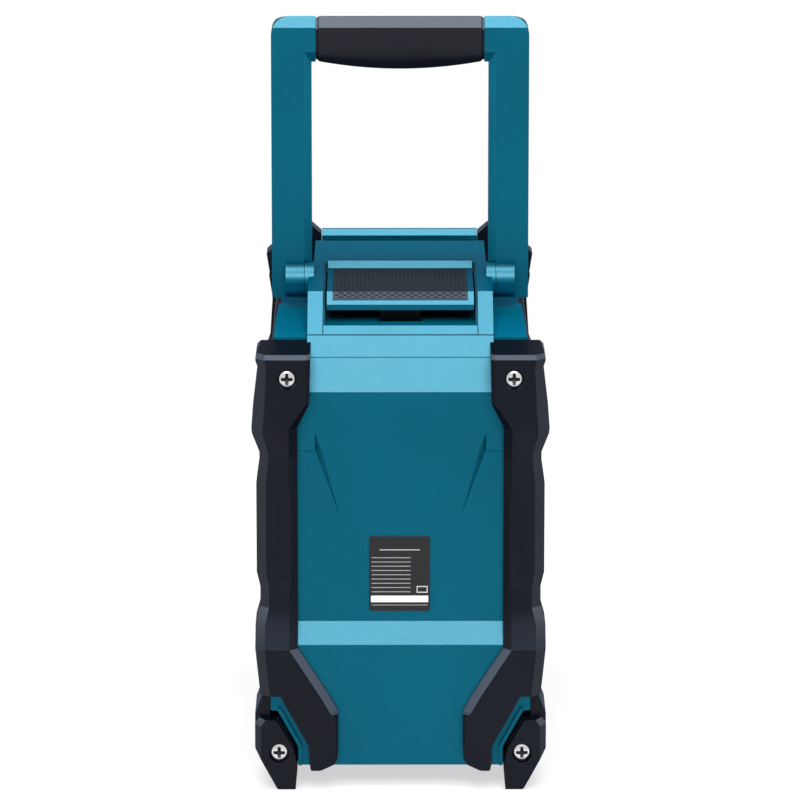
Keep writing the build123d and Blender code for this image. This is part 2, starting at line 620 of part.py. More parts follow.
def corner_screw(position, end):
    """A cross-headed screw at the rear on the right, its shank reaching the given y."""
    x, z = position
    with BuildPart() as screw:
        rod_y(x, z, HEAD_R, -SCREW_FACE, -SCREW_FACE + HEAD_T)
        chamfer(screw.faces().sort_by(Axis.Y)[0].edges(), 0.8)
        rod_y(x, z, SHANK_R, -SCREW_FACE + HEAD_T, end)
        for wide, high in ((2.9, 0.65), (0.65, 2.9)):
            block((x - wide, x + wide), (-SCREW_FACE - 1, -SCREW_FACE + 1.5), (z - high, z + high), Mode.SUBTRACT)
    return screw.part


foot_screw = corner_screw(FOOT_SCREW, -MATE + 16)
front_foot_screw = mirrored_y(foot_screw)
save_group([foot_screw, mirrored_x(foot_screw), front_foot_screw, mirrored_x(front_foot_screw)], "foot_screws")
rear_bumper_screw = corner_screw(BUMPER_SCREW, DOOR_BACK - 3)
save_group([rear_bumper_screw, mirrored_x(rear_bumper_screw)], "rear_bumper_screws")
front_bumper_screw = mirrored_y(corner_screw(BUMPER_SCREW, -MATE + 16))
save_group([front_bumper_screw, mirrored_x(front_bumper_screw)], "front_bumper_screws")


# ---------------------------------------------------------------- front panel and its fascia
fascia_mid_z = (FASCIA_LOW + FASCIA_HIGH) / 2
key_xs = [KEY_PITCH * ((KEY_COUNT - 1) / 2 - index) for index in range(KEY_COUNT)]   # from the front's left
socket_xs = {"usb_socket": -13.0, "audio_socket": 0.0, "dc_socket": 13.0}

with BuildPart() as front_panel:
    add(panel_block)
    add(panel_hollow, mode=Mode.SUBTRACT)
    for side in (-1, 1):
        rod_y(side * BUMPER_SCREW[0], BUMPER_SCREW[1], SHANK_R + 0.2, MATE, FACE_LOW, Mode.SUBTRACT)
    block((-PANEL_HOLE_HALF, PANEL_HOLE_HALF), (FACE_MID - WALL - 1, FACE_MID + 1),
          (PANEL_HOLE_LOW, PANEL_HOLE_HIGH), Mode.SUBTRACT)
    # grooves of the lower face
    for index in range(4):
        block((-44, 44), (FACE_LOW - 1.2, FACE_LOW + 1), (30 + 11 * index, 34 + 11 * index), Mode.SUBTRACT)

save(front_panel.part, "front_panel")

with BuildPart() as control_fascia:
    with BuildSketch(Plane.XZ.offset(-FASCIA_FACE)) as plate:
        with Locations((0, fascia_mid_z)):
            RectangleRounded(2 * FASCIA_HALF, FASCIA_HIGH - FASCIA_LOW, 5)
    extrude(plate.sketch, amount=FASCIA_T)
    chamfer(control_fascia.faces().sort_by(Axis.Y)[-1].edges(), 0.8)
    # window with the ledge it is glued to
    block((-WINDOW_HALF, WINDOW_HALF), (FASCIA_FACE - WINDOW_T, FASCIA_FACE + 1), (WINDOW_LOW, WINDOW_HIGH),
          Mode.SUBTRACT)
    block((-WINDOW_HALF + 3, WINDOW_HALF - 3), (FACE_MID - 1, FASCIA_FACE), (WINDOW_LOW + 3, WINDOW_HIGH - 3),
          Mode.SUBTRACT)
    for x in key_xs:
        block((x - KEY_W / 2 - FIT, x + KEY_W / 2 + FIT), (FACE_MID - 1, FASCIA_FACE + 1),
              (KEY_Z - KEY_H / 2 - FIT, KEY_Z + KEY_H / 2 + FIT), Mode.SUBTRACT)
    for side in (-1, 1):
        rod_y(side * ROUND_KEY_X, ROUND_KEY_Z, ROUND_KEY_R + FIT, FACE_MID - 1, FASCIA_FACE + 1, Mode.SUBTRACT)
    rod_y(0, KNOB_Z, SPINDLE_R + 2.4, FACE_MID - 1, FASCIA_FACE + 1, Mode.SUBTRACT)
    # sockets, and the seat of their cover with its two hinge ears
    block((-COVER_HALF - FIT, COVER_HALF + FIT), (FASCIA_FACE - 1.5, FASCIA_FACE + 1),
          (COVER_LOW - FIT, COVER_HIGH + FIT), Mode.SUBTRACT)
    block((-19, 19), (FACE_MID - 1, FASCIA_FACE), (SOCKET_Z - 4, SOCKET_Z + 4), Mode.SUBTRACT)
    cover_hinge_y = FASCIA_FACE + 1.4
    cover_hinge_z = COVER_LOW + 1.8
    for low, high in both(COVER_HALF + FIT, COVER_HALF + FIT + 2):
        rod_x(cover_hinge_y, cover_hinge_z, 1.8, low, high)
        block((low, high), (FASCIA_FACE - 1, cover_hinge_y), (cover_hinge_z - 1.8, cover_hinge_z + 1.8))
        rod_x(cover_hinge_y, cover_hinge_z, 0.8 + SEAT, low, high, Mode.SUBTRACT)
    # posts of the control board
    for side in (-1, 1):
        for height in (PANEL_HOLE_LOW + 4, PANEL_HOLE_HIGH - 4):
            rod_y(side * (PANEL_HOLE_HALF - 4), height, 2.5, CONTROL_BOARD_Y + BOARD, FACE_MID)

save(control_fascia.part, "control_fascia")

with BuildPart() as display_window:
    block((-WINDOW_HALF + 0.1, WINDOW_HALF - 0.1), (FASCIA_FACE - WINDOW_T, FASCIA_FACE),
          (WINDOW_LOW + 0.1, WINDOW_HIGH - 0.1))

save(display_window.part, "display_window")

with BuildPart() as control_board:
    block((-PANEL_HOLE_HALF + 1, PANEL_HOLE_HALF - 1), (CONTROL_BOARD_Y, CONTROL_BOARD_Y + BOARD),
          (PANEL_HOLE_LOW + 1, PANEL_HOLE_HIGH - 1))
    switch_top = CONTROL_BOARD_Y + BOARD + 1.6
    for x, z in [(x, KEY_Z) for x in key_xs] + [(-ROUND_KEY_X, ROUND_KEY_Z), (ROUND_KEY_X, ROUND_KEY_Z)]:
        block((x - 2.5, x + 2.5), (CONTROL_BOARD_Y + BOARD, switch_top), (z - 2.5, z + 2.5))

save(control_board.part, "control_board")

with BuildPart() as display_module:
    block((-WINDOW_HALF + 3.4, WINDOW_HALF - 3.4), (CONTROL_BOARD_Y + BOARD, FASCIA_FACE - WINDOW_T - 0.4),
          (WINDOW_LOW + 3.4, WINDOW_HIGH - 3.4))

save(display_module.part, "display_module")

encoder_face = FACE_MID - 1.0
with BuildPart() as volume_encoder:
    block((-7, 7), (CONTROL_BOARD_Y + BOARD, encoder_face - 1), (KNOB_Z - 7, KNOB_Z + 7))
    rod_y(0, KNOB_Z, SPINDLE_R + 2.0, encoder_face - 1, FASCIA_FACE)
    rod_y(0, KNOB_Z, SPINDLE_R + RUN, CONTROL_BOARD_Y + BOARD + 2, FASCIA_FACE + 1, Mode.SUBTRACT)

save(volume_encoder.part, "volume_encoder")

knob_back = FASCIA_FACE + 0.4
with BuildPart() as volume_knob:
    rod_y(0, KNOB_Z, KNOB_R, knob_back, knob_back + KNOB_DEPTH)
    chamfer(volume_knob.faces().sort_by(Axis.Y)[-1].edges(), 1.6)
    with BuildSketch(Plane.XZ.offset(-(knob_back + KNOB_DEPTH - 2))) as flutes:
        with Locations((0, KNOB_Z)):
            with PolarLocations(KNOB_R + 0.6, 24):
                Circle(1.3)
    extrude(flutes.sketch, amount=KNOB_DEPTH - 3, mode=Mode.SUBTRACT)
    rod_y(0, KNOB_Z, SPINDLE_R, CONTROL_BOARD_Y + BOARD + 2.3, knob_back)

save(volume_knob.part, "volume_knob")


def button(name, cap_points, flange_points, x, z):
    """A button with its retaining flange and the stem that presses its switch."""
    with BuildPart() as key:
        for points, y_low, y_high in ((cap_points, FACE_MID - FIT - 0.5, FASCIA_FACE + PROUD),
                                      (flange_points, FACE_MID - FIT - 1.6, FACE_MID - FIT)):
            prism_y(points, y_low, y_high)
        chamfer(key.faces().sort_by(Axis.Y)[-1].edges(), 0.6)
        rod_y(x, z, 1.6, switch_top + TRAVEL + 0.2, FACE_MID - FIT - 1.6)
    save(key.part, name)


def rectangle(x, z, width, height):
    return [(x - width / 2, z - height / 2), (x + width / 2, z - height / 2),
            (x + width / 2, z + height / 2), (x - width / 2, z + height / 2)]


for index, x in enumerate(key_xs):
    button(f"preset_button_{index + 1}", rectangle(x, KEY_Z, KEY_W, KEY_H),
           rectangle(x, KEY_Z, KEY_W + 2.4, KEY_H + 2.4), x, KEY_Z)

for name, x in (("power_button", -ROUND_KEY_X), ("mode_button", ROUND_KEY_X)):
    with BuildPart() as round_key:
        rod_y(x, ROUND_KEY_Z, ROUND_KEY_R, FACE_MID - FIT - 1, FASCIA_FACE + PROUD)
        chamfer(round_key.faces().sort_by(Axis.Y)[-1].edges(), 0.7)
        rod_y(x, ROUND_KEY_Z, ROUND_KEY_R + 1.2, FACE_MID - FIT - 1.6, FACE_MID - FIT)
        rod_y(x, ROUND_KEY_Z, 1.6, switch_top + TRAVEL + 0.2, FACE_MID - FIT - 1.6)
    save(round_key.part, name)

socket_face = FASCIA_FACE - 1.7
for name, x in socket_xs.items():
    with BuildPart() as socket:
        block((x - 6, x + 6), (CONTROL_BOARD_Y + BOARD, socket_face), (SOCKET_Z - 3.6, SOCKET_Z + 3.6))
        if name == "usb_socket":
            block((x - 4.4, x + 4.4), (socket_face - 7, socket_face + 1), (SOCKET_Z - 1.6, SOCKET_Z + 1.6),
                  Mode.SUBTRACT)
        else:
            rod_y(x, SOCKET_Z, 1.8 if name == "audio_socket" else 2.8, socket_face - 7, socket_face + 1,
                  Mode.SUBTRACT)
    save(socket.part, name)

with BuildPart() as socket_cover:
    block((-COVER_HALF, COVER_HALF), (FASCIA_FACE - 1.2, FASCIA_FACE + 1.6), (COVER_LOW + 3.9, COVER_HIGH))
    rod_x(cover_hinge_y, cover_hinge_z, 1.8, -COVER_HALF, COVER_HALF)
    block((-COVER_HALF, COVER_HALF), (cover_hinge_y - 0.8, cover_hinge_y + 0.2), (cover_hinge_z, COVER_LOW + 4))
    rod_x(cover_hinge_y, cover_hinge_z, 0.8 + RUN, -COVER_HALF, COVER_HALF, Mode.SUBTRACT)
    block((-6, 6), (FASCIA_FACE + 1, FASCIA_FACE + 3), (COVER_HIGH - 2.4, COVER_HIGH))

save(socket_cover.part, "socket_cover")

with BuildPart() as cover_pin:
    rod_x(cover_hinge_y, cover_hinge_z, 0.8, -COVER_HALF - FIT - 2, COVER_HALF + FIT + 2)

save(cover_pin.part, "cover_pin")


# ---------------------------------------------------------------- aerial
with BuildPart() as aerial_foot:
    rod_y(AERIAL_X, AERIAL_Z, AERIAL_FOOT_R, FACE_MID, AERIAL_Y - 3.4)
    rod_y(AERIAL_X, AERIAL_Z, 2.0, AERIAL_Y - 3.4, AERIAL_Y + 3.6)

save(aerial_foot.part, "aerial_foot")

with BuildPart() as aerial:
    rod_y(AERIAL_X, AERIAL_Z, AERIAL_HUB_R, AERIAL_Y - 3.1, AERIAL_Y + 3.1)
    rod_x(AERIAL_Y, AERIAL_Z, AERIAL_R, AERIAL_X, AERIAL_X + AERIAL_LENGTH)
    fillet(aerial.faces().sort_by(Axis.X)[-1].edges(), 2.0)
    rod_y(AERIAL_X, AERIAL_Z, 2.0 + RUN, AERIAL_Y - 4, AERIAL_Y + 4, Mode.SUBTRACT)

save(aerial.part, "aerial")


# ---------------------------------------------------------------- top frame
lip_y, lip_z = FRAME_LIP
break_y, break_z = FRAME_BREAK
frame_ridge = [FRAME_LIP, FRAME_BREAK, FRAME_CREST, (FRAME_END, FRAME_END_Z)]
frame_profile = [(-MATE, DECK), (-MATE, lip_z), *frame_ridge, (FRAME_END, DECK)]
frame_peak = max(z for _, z in frame_ridge)


def frame_top(y):
    """Height of the rails at a given y."""
    for (y0, z0), (y1, z1) in zip(frame_ridge, frame_ridge[1:]):
        if y <= y1:
            break
    return z0 + (z1 - z0) * (y - y0) / (y1 - y0)


knuckle_rear = PIVOT_Y - KNUCKLE_R - FIT     # the wide part ends behind the knuckles
wide_profile = frame_profile[:4] + [(knuckle_rear, frame_top(knuckle_rear)), (knuckle_rear, DECK)]

with BuildPart() as top_frame:
    prism_x(frame_profile, -FRAME_HALF, FRAME_HALF)
    prism_x(wide_profile, -TOP_HALF, TOP_HALF)
    for low, high in both(FRAME_HALF - 0.5, KNUCKLE_SPLIT - FIT / 2):
        rod_x(PIVOT_Y, PIVOT_Z, KNUCKLE_R, low, high)
    # lowered deck between the rails, and the recess of the latch with its bevelled rim
    deck_z = frame_top(RECESS_FRONT) - DECK_DROP
    block((-RECESS_HALF - RECESS_RIM, RECESS_HALF + RECESS_RIM), (RECESS_FRONT, FRAME_END + 1),
          (deck_z, frame_peak + 1), Mode.SUBTRACT)
    block((-RECESS_HALF, RECESS_HALF), (RECESS_REAR, RECESS_FRONT), (RECESS_FLOOR, frame_peak + 1), Mode.SUBTRACT)
    for side in (-1, 1):
        near_x, far_x = side * (RECESS_HALF - 0.01), side * (RECESS_HALF + RECESS_RIM)
        edge_zs = [(y, frame_top(y)) for y in (RECESS_REAR, break_y, FRAME_CREST[0], RECESS_FRONT)]
        for (y0, z0), (y1, z1) in zip(edge_zs, edge_zs[1:]):
            ends = []
            for y, z in ((y0, z0), (y1, z1)):
                with BuildSketch(Plane.XZ.offset(-y)) as rim_section:
                    with BuildLine():
                        Polyline((near_x, z - RECESS_RIM), (far_x, z), (far_x, z + 3), (near_x, z + 3), close=True)
                    make_face()
                ends.append(rim_section.sketch)
            loft(ends, ruled=True, mode=Mode.SUBTRACT)
    # hollow underneath
    block((-FRAME_HALF + WALL, FRAME_HALF - WALL), (-MATE + WALL, FRAME_END - WALL), (DECK - 1, RECESS_FLOOR - WALL),
          Mode.SUBTRACT)
    block((-FRAME_HALF + WALL, FRAME_HALF - WALL), (RECESS_FRONT + WALL, FRAME_END - WALL),
          (DECK - 1, deck_z - WALL), Mode.SUBTRACT)
    # way in for the door's tongue, and the slot of the latch's hook
    block((-TONGUE_HALF - 1, TONGUE_HALF + 1), (-MATE - 1, -MATE + WALL + 1),
          (DECK - 1, TONGUE_Z + TONGUE_T + TONGUE_RISE), Mode.SUBTRACT)
    block((-HOOK_HALF - 1, HOOK_HALF + 1), (HOOK_SLOT_REAR, HOOK_SLOT_FRONT),
          (RECESS_FLOOR - WALL - 1, RECESS_FLOOR + 1), Mode.SUBTRACT)
    # bores of the handle's and the latch's pins
    for low, high in both(FRAME_HALF + 0.3, KNUCKLE_END):
        rod_x(PIVOT_Y, PIVOT_Z, PIVOT_PIN_R + SEAT, low, high, Mode.SUBTRACT)
    rod_x(LATCH_PIVOT_Y, LATCH_PIVOT_Z, LATCH_PIN_R + SEAT, -RECESS_HALF - 4, RECESS_HALF + 4, Mode.SUBTRACT)

save(top_frame.part, "top_frame")


# ---------------------------------------------------------------- handle
# a bevel behind the ridge of the top, a long fall before it, and a small front bevel
above_handle = [(HANDLE_REAR - 1, HANDLE_TOP - HANDLE_BEVEL - 1), (HANDLE_REAR + HANDLE_BEVEL, HANDLE_TOP),
                (HANDLE_FRONT - 2, HANDLE_TOP - HANDLE_FALL), (HANDLE_FRONT + 1, HANDLE_TOP - HANDLE_FALL - 3),
                (HANDLE_FRONT + 1, HANDLE_TOP + 1), (HANDLE_REAR - 1, HANDLE_TOP + 1)]

with BuildPart() as handle:
    with BuildSketch(Plane.XZ.offset(-HANDLE_FRONT)) as arch:
        with BuildLine():
            Polyline((-HANDLE_HALF, PIVOT_Z - ARM_FOOT), (-HANDLE_HALF, HANDLE_TOP), (HANDLE_HALF, HANDLE_TOP),
                     (HANDLE_HALF, PIVOT_Z - ARM_FOOT), (ARM_IN, PIVOT_Z - ARM_FOOT), (ARM_IN, BAR_LOW),
                     (-ARM_IN, BAR_LOW), (-ARM_IN, PIVOT_Z - ARM_FOOT), close=True)
        make_face()
        fillet(arch.vertices().group_by(Axis.Y)[-1], HANDLE_CORNER)
    extrude(arch.sketch, amount=HANDLE_DEPTH)
    # bevels along the inner edge at the rear and at the front
    for face_y, sign in ((HANDLE_REAR, 1), (HANDLE_FRONT, -1)):
        bevel = INNER_BEVEL if sign > 0 else INNER_BEVEL / 2
        rims = []
        for y, grow in ((face_y - sign, bevel + 1), (face_y + sign * bevel, 0)):
            lift = grow * BAR_BEVEL / INNER_BEVEL
            with BuildSketch(Plane.XZ.offset(-y)) as rim_section:
                with BuildLine():
                    Polyline((-ARM_IN - grow, PIVOT_Z - 20), (-ARM_IN - grow, BAR_LOW + lift),
                             (ARM_IN + grow, BAR_LOW + lift), (ARM_IN + grow, PIVOT_Z - 20), close=True)
                make_face()
            rims.append(rim_section.sketch)
        loft(rims, ruled=True, mode=Mode.SUBTRACT)
    prism_x(above_handle, -HANDLE_HALF, HANDLE_HALF, Mode.SUBTRACT)
    # toes cut off, so that the arms clear the deck and the shoulders as they swing
    prism_x([(PIVOT_Y + ARM_TOE_Y, PIVOT_Z - ARM_FOOT), (HANDLE_FRONT, PIVOT_Z + ARM_TOE_Z),
             (HANDLE_FRONT + 1, PIVOT_Z - ARM_FOOT - 1)], -HANDLE_HALF, HANDLE_HALF, Mode.SUBTRACT)
    for low, high in both(KNUCKLE_SPLIT + FIT / 2, KNUCKLE_END):
        rod_x(PIVOT_Y, PIVOT_Z, KNUCKLE_R, low, high)
    for low, high in both(ARM_IN - 1, KNUCKLE_SPLIT + FIT / 2):
        rod_x(PIVOT_Y, PIVOT_Z, KNUCKLE_R + 0.6, low, high, Mode.SUBTRACT)
    for low, high in both(KNUCKLE_SPLIT - 1, KNUCKLE_END):
        rod_x(PIVOT_Y, PIVOT_Z, PIVOT_PIN_R + RUN, low, high, Mode.SUBTRACT)
    # the bar is slimmer inside the grip
    block((-GRIP_HALF, GRIP_HALF), (HANDLE_REAR - 1, HANDLE_FRONT + 1), (BAR_LOW - 1, HANDLE_TOP + 1), Mode.SUBTRACT)
    core_y = (HANDLE_REAR + HANDLE_FRONT) / 2
    core_z = (BAR_LOW + HANDLE_TOP) / 2
    block((-GRIP_HALF - 1, GRIP_HALF + 1), (core_y - CORE / 2, core_y + CORE / 2),
          (core_z - CORE / 2, core_z + CORE / 2))

save(handle.part, "handle")

with BuildPart() as handle_grip:
    grip_end = GRIP_HALF - 0.2
    grip_low = HANDLE_TOP - GRIP_BELLY
    with BuildSketch(Plane.XZ.offset(-HANDLE_FRONT)) as belly:
        with BuildLine():
            Polyline((-grip_end, BAR_LOW - 0.4), (-grip_end, HANDLE_TOP), (grip_end, HANDLE_TOP),
                     (grip_end, BAR_LOW - 0.4))
            ThreePointArc((grip_end, BAR_LOW - 0.4), (0, grip_low), (-grip_end, BAR_LOW - 0.4))
        make_face()
    extrude(belly.sketch, amount=HANDLE_DEPTH)
    prism_x(above_handle, -HANDLE_HALF, HANDLE_HALF, Mode.SUBTRACT)
    chamfer(handle_grip.edges().filter_by(GeomType.CIRCLE), GRIP_BEVEL)
    block((-HANDLE_HALF, HANDLE_HALF), (core_y - CORE / 2, core_y + CORE / 2),
          (core_z - CORE / 2, core_z + CORE / 2), Mode.SUBTRACT)

save(handle_grip.part, "handle_grip")

handle_pins = []
for low, high in both(FRAME_HALF + 0.4, KNUCKLE_END - 0.4):
    with BuildPart() as handle_pin:
        rod_x(PIVOT_Y, PIVOT_Z, PIVOT_PIN_R, low, high)
    handle_pins.append(handle_pin.part)
save_group(handle_pins, "handle_hinge_pins")


# ---------------------------------------------------------------- latch
rear_y, rear_z = LATCH_REAR
latch_break_y, latch_break_z = LATCH_BREAK
foot_y, foot_z = LATCH_FOOT
latch_top = LATCH_PIVOT_Z + LATCH_BARREL_R
latch_slope = (latch_break_z - rear_z) / (latch_break_y - rear_y)
pad_rear_y = rear_y + PAD_MARGIN
pad_rear_z = rear_z + latch_slope * PAD_MARGIN
pad_outline = [(pad_rear_y, pad_rear_z + PAD_PROUD), (latch_break_y, latch_break_z + PAD_PROUD),
               (foot_y - 0.8, foot_z + PAD_PROUD), (foot_y - 0.8, foot_z - PAD_DEPTH),
               (latch_break_y + 0.5, latch_break_z - PAD_DEPTH), (pad_rear_y + 0.5, pad_rear_z - PAD_DEPTH)]

with BuildPart() as latch_lever:
    prism_x([LATCH_REAR, LATCH_BREAK, LATCH_FOOT, (foot_y + latch_top - foot_z, latch_top), (LATCH_PIVOT_Y, latch_top),
             (LATCH_PIVOT_Y, latch_top - 6), (foot_y, foot_z - LATCH_PLATE), (latch_break_y, latch_break_z - LATCH_PLATE),
             (rear_y + 3, rear_z - LATCH_LIP), (rear_y, rear_z - LATCH_LIP)], -LATCH_HALF, LATCH_HALF)
    rod_x(LATCH_PIVOT_Y, LATCH_PIVOT_Z, LATCH_BARREL_R, -LATCH_HALF, LATCH_HALF)
    prism_x(pad_outline, -PAD_HALF, PAD_HALF, Mode.SUBTRACT)
    rod_x(LATCH_PIVOT_Y, LATCH_PIVOT_Z, LATCH_PIN_R + RUN, -LATCH_HALF - 1, LATCH_HALF + 1, Mode.SUBTRACT)
    # pocket of the spring
    rod_x(LATCH_PIVOT_Y, LATCH_PIVOT_Z, SPRING_R + SPRING_WIRE + 0.9, -SPRING_HALF - 1, SPRING_HALF + 1, Mode.SUBTRACT)
    block((-SPRING_HALF - 1, SPRING_HALF + 1), (LATCH_PIVOT_Y - 4, LATCH_PIVOT_Y + 4),
          (LATCH_PIVOT_Z - LATCH_BARREL_R - 1, LATCH_PIVOT_Z), Mode.SUBTRACT)

save(latch_lever.part, "latch_lever")

with BuildPart() as latch_pad:
    prism_x(pad_outline, -PAD_HALF, PAD_HALF)

save(latch_pad.part, "latch_pad")

hook_top = latch_break_z - LATCH_PLATE - HOOK_SEAT
hook_low = TONGUE_Z + TONGUE_T + HOOK_GAP
with BuildPart() as latch_hook:
    prism_x([(HOOK_LEG, hook_top), (HOOK_PLATE_END, hook_top), (HOOK_PLATE_END, hook_top - HOOK_PLATE_T),
             (HOOK_LEG + HOOK_T, hook_top - HOOK_PLATE_T), (HOOK_LEG + HOOK_T, hook_low), (HOOK_TIP, hook_low),
             (HOOK_TIP, hook_low + 1.6), (HOOK_LEG, hook_low + HOOK_T)], -HOOK_HALF, HOOK_HALF)

save(latch_hook.part, "latch_hook")

with BuildPart() as latch_pin:
    rod_x(LATCH_PIVOT_Y, LATCH_PIVOT_Z, LATCH_PIN_R, -RECESS_HALF - 3.8, RECESS_HALF + 3.8)

save(latch_pin.part, "latch_pin")

with BuildPart() as latch_spring:
    with BuildLine() as coil:
        Helix(pitch=2 * SPRING_HALF / SPRING_TURNS, height=2 * SPRING_HALF, radius=SPRING_R,
              center=(-SPRING_HALF, LATCH_PIVOT_Y, LATCH_PIVOT_Z), direction=(1, 0, 0))
    with BuildSketch(Plane(origin=coil.line @ 0, z_dir=coil.line % 0)) as wire:
        Circle(SPRING_WIRE)
    sweep(wire.sketch, path=coil.line, is_frenet=True)

save(latch_spring.part, "latch_spring")


# ---------------------------------------------------------------- side panels and grilles
panel_foot_y = FOOT_END - 0.5
corner_clear_y = MATE - 20.5
side_top = DECK - 1 - FIT                    # under the shoulders
side_outline = [
    (-corner_clear_y, 20.0), (corner_clear_y, 20.0), (corner_clear_y, 51.0), (MATE - 0.5, 51.0),
    (MATE - 0.5, side_top), (-MATE + 0.5, side_top), (-MATE + 0.5, 51.0), (-corner_clear_y, 51.0)]

with BuildPart() as side_panel:
    prism_x(side_outline, HALF, PANEL_SKIN)
    outer_rim = side_panel.faces().sort_by(Axis.X)[-1].edges()
    chamfer(outer_rim, 0.8)
    # shallow fields behind the speaker
    for index in range(FIELD_COUNT):
        field_z = FIELD_LOW + FIELD_PITCH * index
        block((PANEL_SKIN - FIELD_DEPTH, PANEL_SKIN + 1), FIELD_ENDS, (field_z, field_z + FIELD_PITCH / 2), Mode.SUBTRACT)
    rod_x(SPEAKER_Y, SPEAKER_Z, SPEAKER_HOLE + 2, HALF - 1, PANEL_SKIN + 1, Mode.SUBTRACT)
    rod_x(SPEAKER_Y, SPEAKER_Z, GRILLE_R + 0.2, PANEL_SKIN - GRILLE_T, PANEL_SKIN + 1, Mode.SUBTRACT)

save_pair(side_panel.part, "side_panel")

with BuildPart() as speaker_grille:
    rod_x(SPEAKER_Y, SPEAKER_Z, GRILLE_R, PANEL_SKIN - GRILLE_T, PANEL_SKIN)
    # rings of slots
    for ring in range(1, 6):
        radius = 8.5 * ring
        count = 4 * ring
        with BuildSketch(Plane.YZ.offset(PANEL_SKIN - GRILLE_T - 1)) as slots:
            with Locations((SPEAKER_Y, SPEAKER_Z)):
                with PolarLocations(radius, count):
                    SlotOverall(8.5, 2.6, rotation=90)
        extrude(slots.sketch, amount=GRILLE_T + 2, mode=Mode.SUBTRACT)

save_pair(speaker_grille.part, "speaker_grille")


# ---------------------------------------------------------------- speakers
flange_x = INSIDE - FLANGE_T
magnet_x = flange_x - SPEAKER_DEPTH


def turned_x(points, mode=Mode.ADD):
    """Turns an outline of (x, radius) points about the speaker's axis."""
    with BuildSketch(Plane.XZ) as section:
        with BuildLine():
            Polyline(*points, close=True)
        make_face()
    half_turn = revolve(section.sketch, axis=Axis.X, mode=Mode.PRIVATE)
    add(Pos(0, SPEAKER_Y, SPEAKER_Z) * half_turn, mode=mode)


with BuildPart() as basket:
    turned_x([(INSIDE, 50.6), (INSIDE, FLANGE_R), (flange_x, FLANGE_R), (flange_x, 50.0), (magnet_x + 1.5, 24.0),
              (magnet_x, 24.0), (magnet_x, 12.0), (magnet_x + 2.5, 12.0), (magnet_x + 2.5, 22.5),
              (flange_x + 1.2, 48.0), (flange_x + 1.2, 50.6)])
    with BuildSketch(Plane.YZ.offset(magnet_x + 3)) as vent:
        with Locations((SPEAKER_Y, SPEAKER_Z)):
            with PolarLocations(37.0, 4, start_angle=45):
                Circle(7.0)
    extrude(vent.sketch, amount=SPEAKER_DEPTH - 5, mode=Mode.SUBTRACT)
save_group([basket.part, mirrored_x(basket.part)], "speaker_baskets")

with BuildPart() as magnet:
    turned_x([(magnet_x, 0.0), (magnet_x, MAGNET_R), (magnet_x - MAGNET_T, MAGNET_R), (magnet_x - MAGNET_T, 0.0)])
    chamfer(magnet.edges().filter_by(GeomType.CIRCLE), 1.0)
save_group([magnet.part, mirrored_x(magnet.part)], "speaker_magnets")

with BuildPart() as cone:
    turned_x([(flange_x + 1.3, 50.3), (flange_x + 2.3, 50.3), (flange_x + 2.3, 48.5), (flange_x + 4.3, 46.5),
              (flange_x + 2.3, 44.0), (magnet_x + 10.0, 15.0), (magnet_x + 13.5, 8.0), (magnet_x + 14.5, 0.0),
              (magnet_x + 0.3, 0.0), (magnet_x + 0.3, 10.0), (magnet_x + 6.0, 11.5), (flange_x + 1.0, 43.5),
              (flange_x + 3.0, 46.5), (flange_x + 1.3, 48.3)])
save_group([cone.part, mirrored_x(cone.part)], "speaker_cones")


# ---------------------------------------------------------------- battery bay and main board
bay_mid_z = (BAY_LOW + BAY_HIGH) / 2

with BuildPart() as battery_bay:
    block((-BAY_HALF - BAY_WALL, BAY_HALF + BAY_WALL), (-MATE + WALL, BAY_END + BAY_WALL),
          (BAY_LOW - BAY_WALL, BAY_HIGH + BAY_WALL))
    block((-BAY_HALF, BAY_HALF), (-MATE + WALL - 1, BAY_END), (BAY_LOW, BAY_HIGH), Mode.SUBTRACT)
    # posts of the main board
    for side in (-1, 1):
        for height in (BAY_LOW + 20, BAY_HIGH - 20):
            rod_y(side * (BAY_HALF - 8), height, 3.0, BAY_END + BAY_WALL, BAY_END + BAY_WALL + 4)

save(battery_bay.part, "battery_bay")

with BuildPart() as terminal_block:
    block((-32, 32), (BAY_END - 7, BAY_END), (bay_mid_z - 34, bay_mid_z + 34))
    # rails that the battery slides on
    for low, high in both(27, 32):
        block((low, high), (BAY_END - 13, BAY_END - 7), (bay_mid_z - 34, bay_mid_z + 34))
    for low, high in both(24, 32):
        block((low, high), (BAY_END - 16, BAY_END - 13), (bay_mid_z - 34, bay_mid_z + 34))
    for x in (-14, 0, 14):
        block((x - 0.4 - SEAT, x + 0.4 + SEAT), (BAY_END - 8, BAY_END - 2), (bay_mid_z - 9, bay_mid_z + 9), Mode.SUBTRACT)

save(terminal_block.part, "terminal_block")

contacts = []
for x in (-14, 0, 14):
    with BuildPart() as contact:
        block((x - 0.4, x + 0.4), (BAY_END - 14, BAY_END - 2), (bay_mid_z - 8.8, bay_mid_z + 8.8))
    contacts.append(contact.part)
save_group(contacts, "battery_contacts")

board_y = BAY_END + BAY_WALL + 4
with BuildPart() as main_board:
    block((-BAY_HALF + 3, BAY_HALF - 3), (board_y, board_y + BOARD), (BAY_LOW + 12, BAY_HIGH - 12))
    # amplifier with its heat sink, tuner can, capacitors
    block((-40, -4), (board_y + BOARD, board_y + 9), (80, 96))
    for index in range(5):
        block((-38 + 7.5 * index, -36 + 7.5 * index), (board_y + 9, board_y + 15), (80, 96))
    block((10, 40), (board_y + BOARD, board_y + 6), (150, 182))
    for x in (8, 24, 40):
        rod_y(x, 104, 5.5, board_y + BOARD, board_y + 14)
    block((-34, -16), (board_y + BOARD, board_y + 4), (146, 164))

save(main_board.part, "main_board")
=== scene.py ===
"""Looks of a jobsite radio: moulded teal housing, black overmoulded corners, ribbed latch pad,
side speakers and front controls. Metres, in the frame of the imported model."""

import json
import math

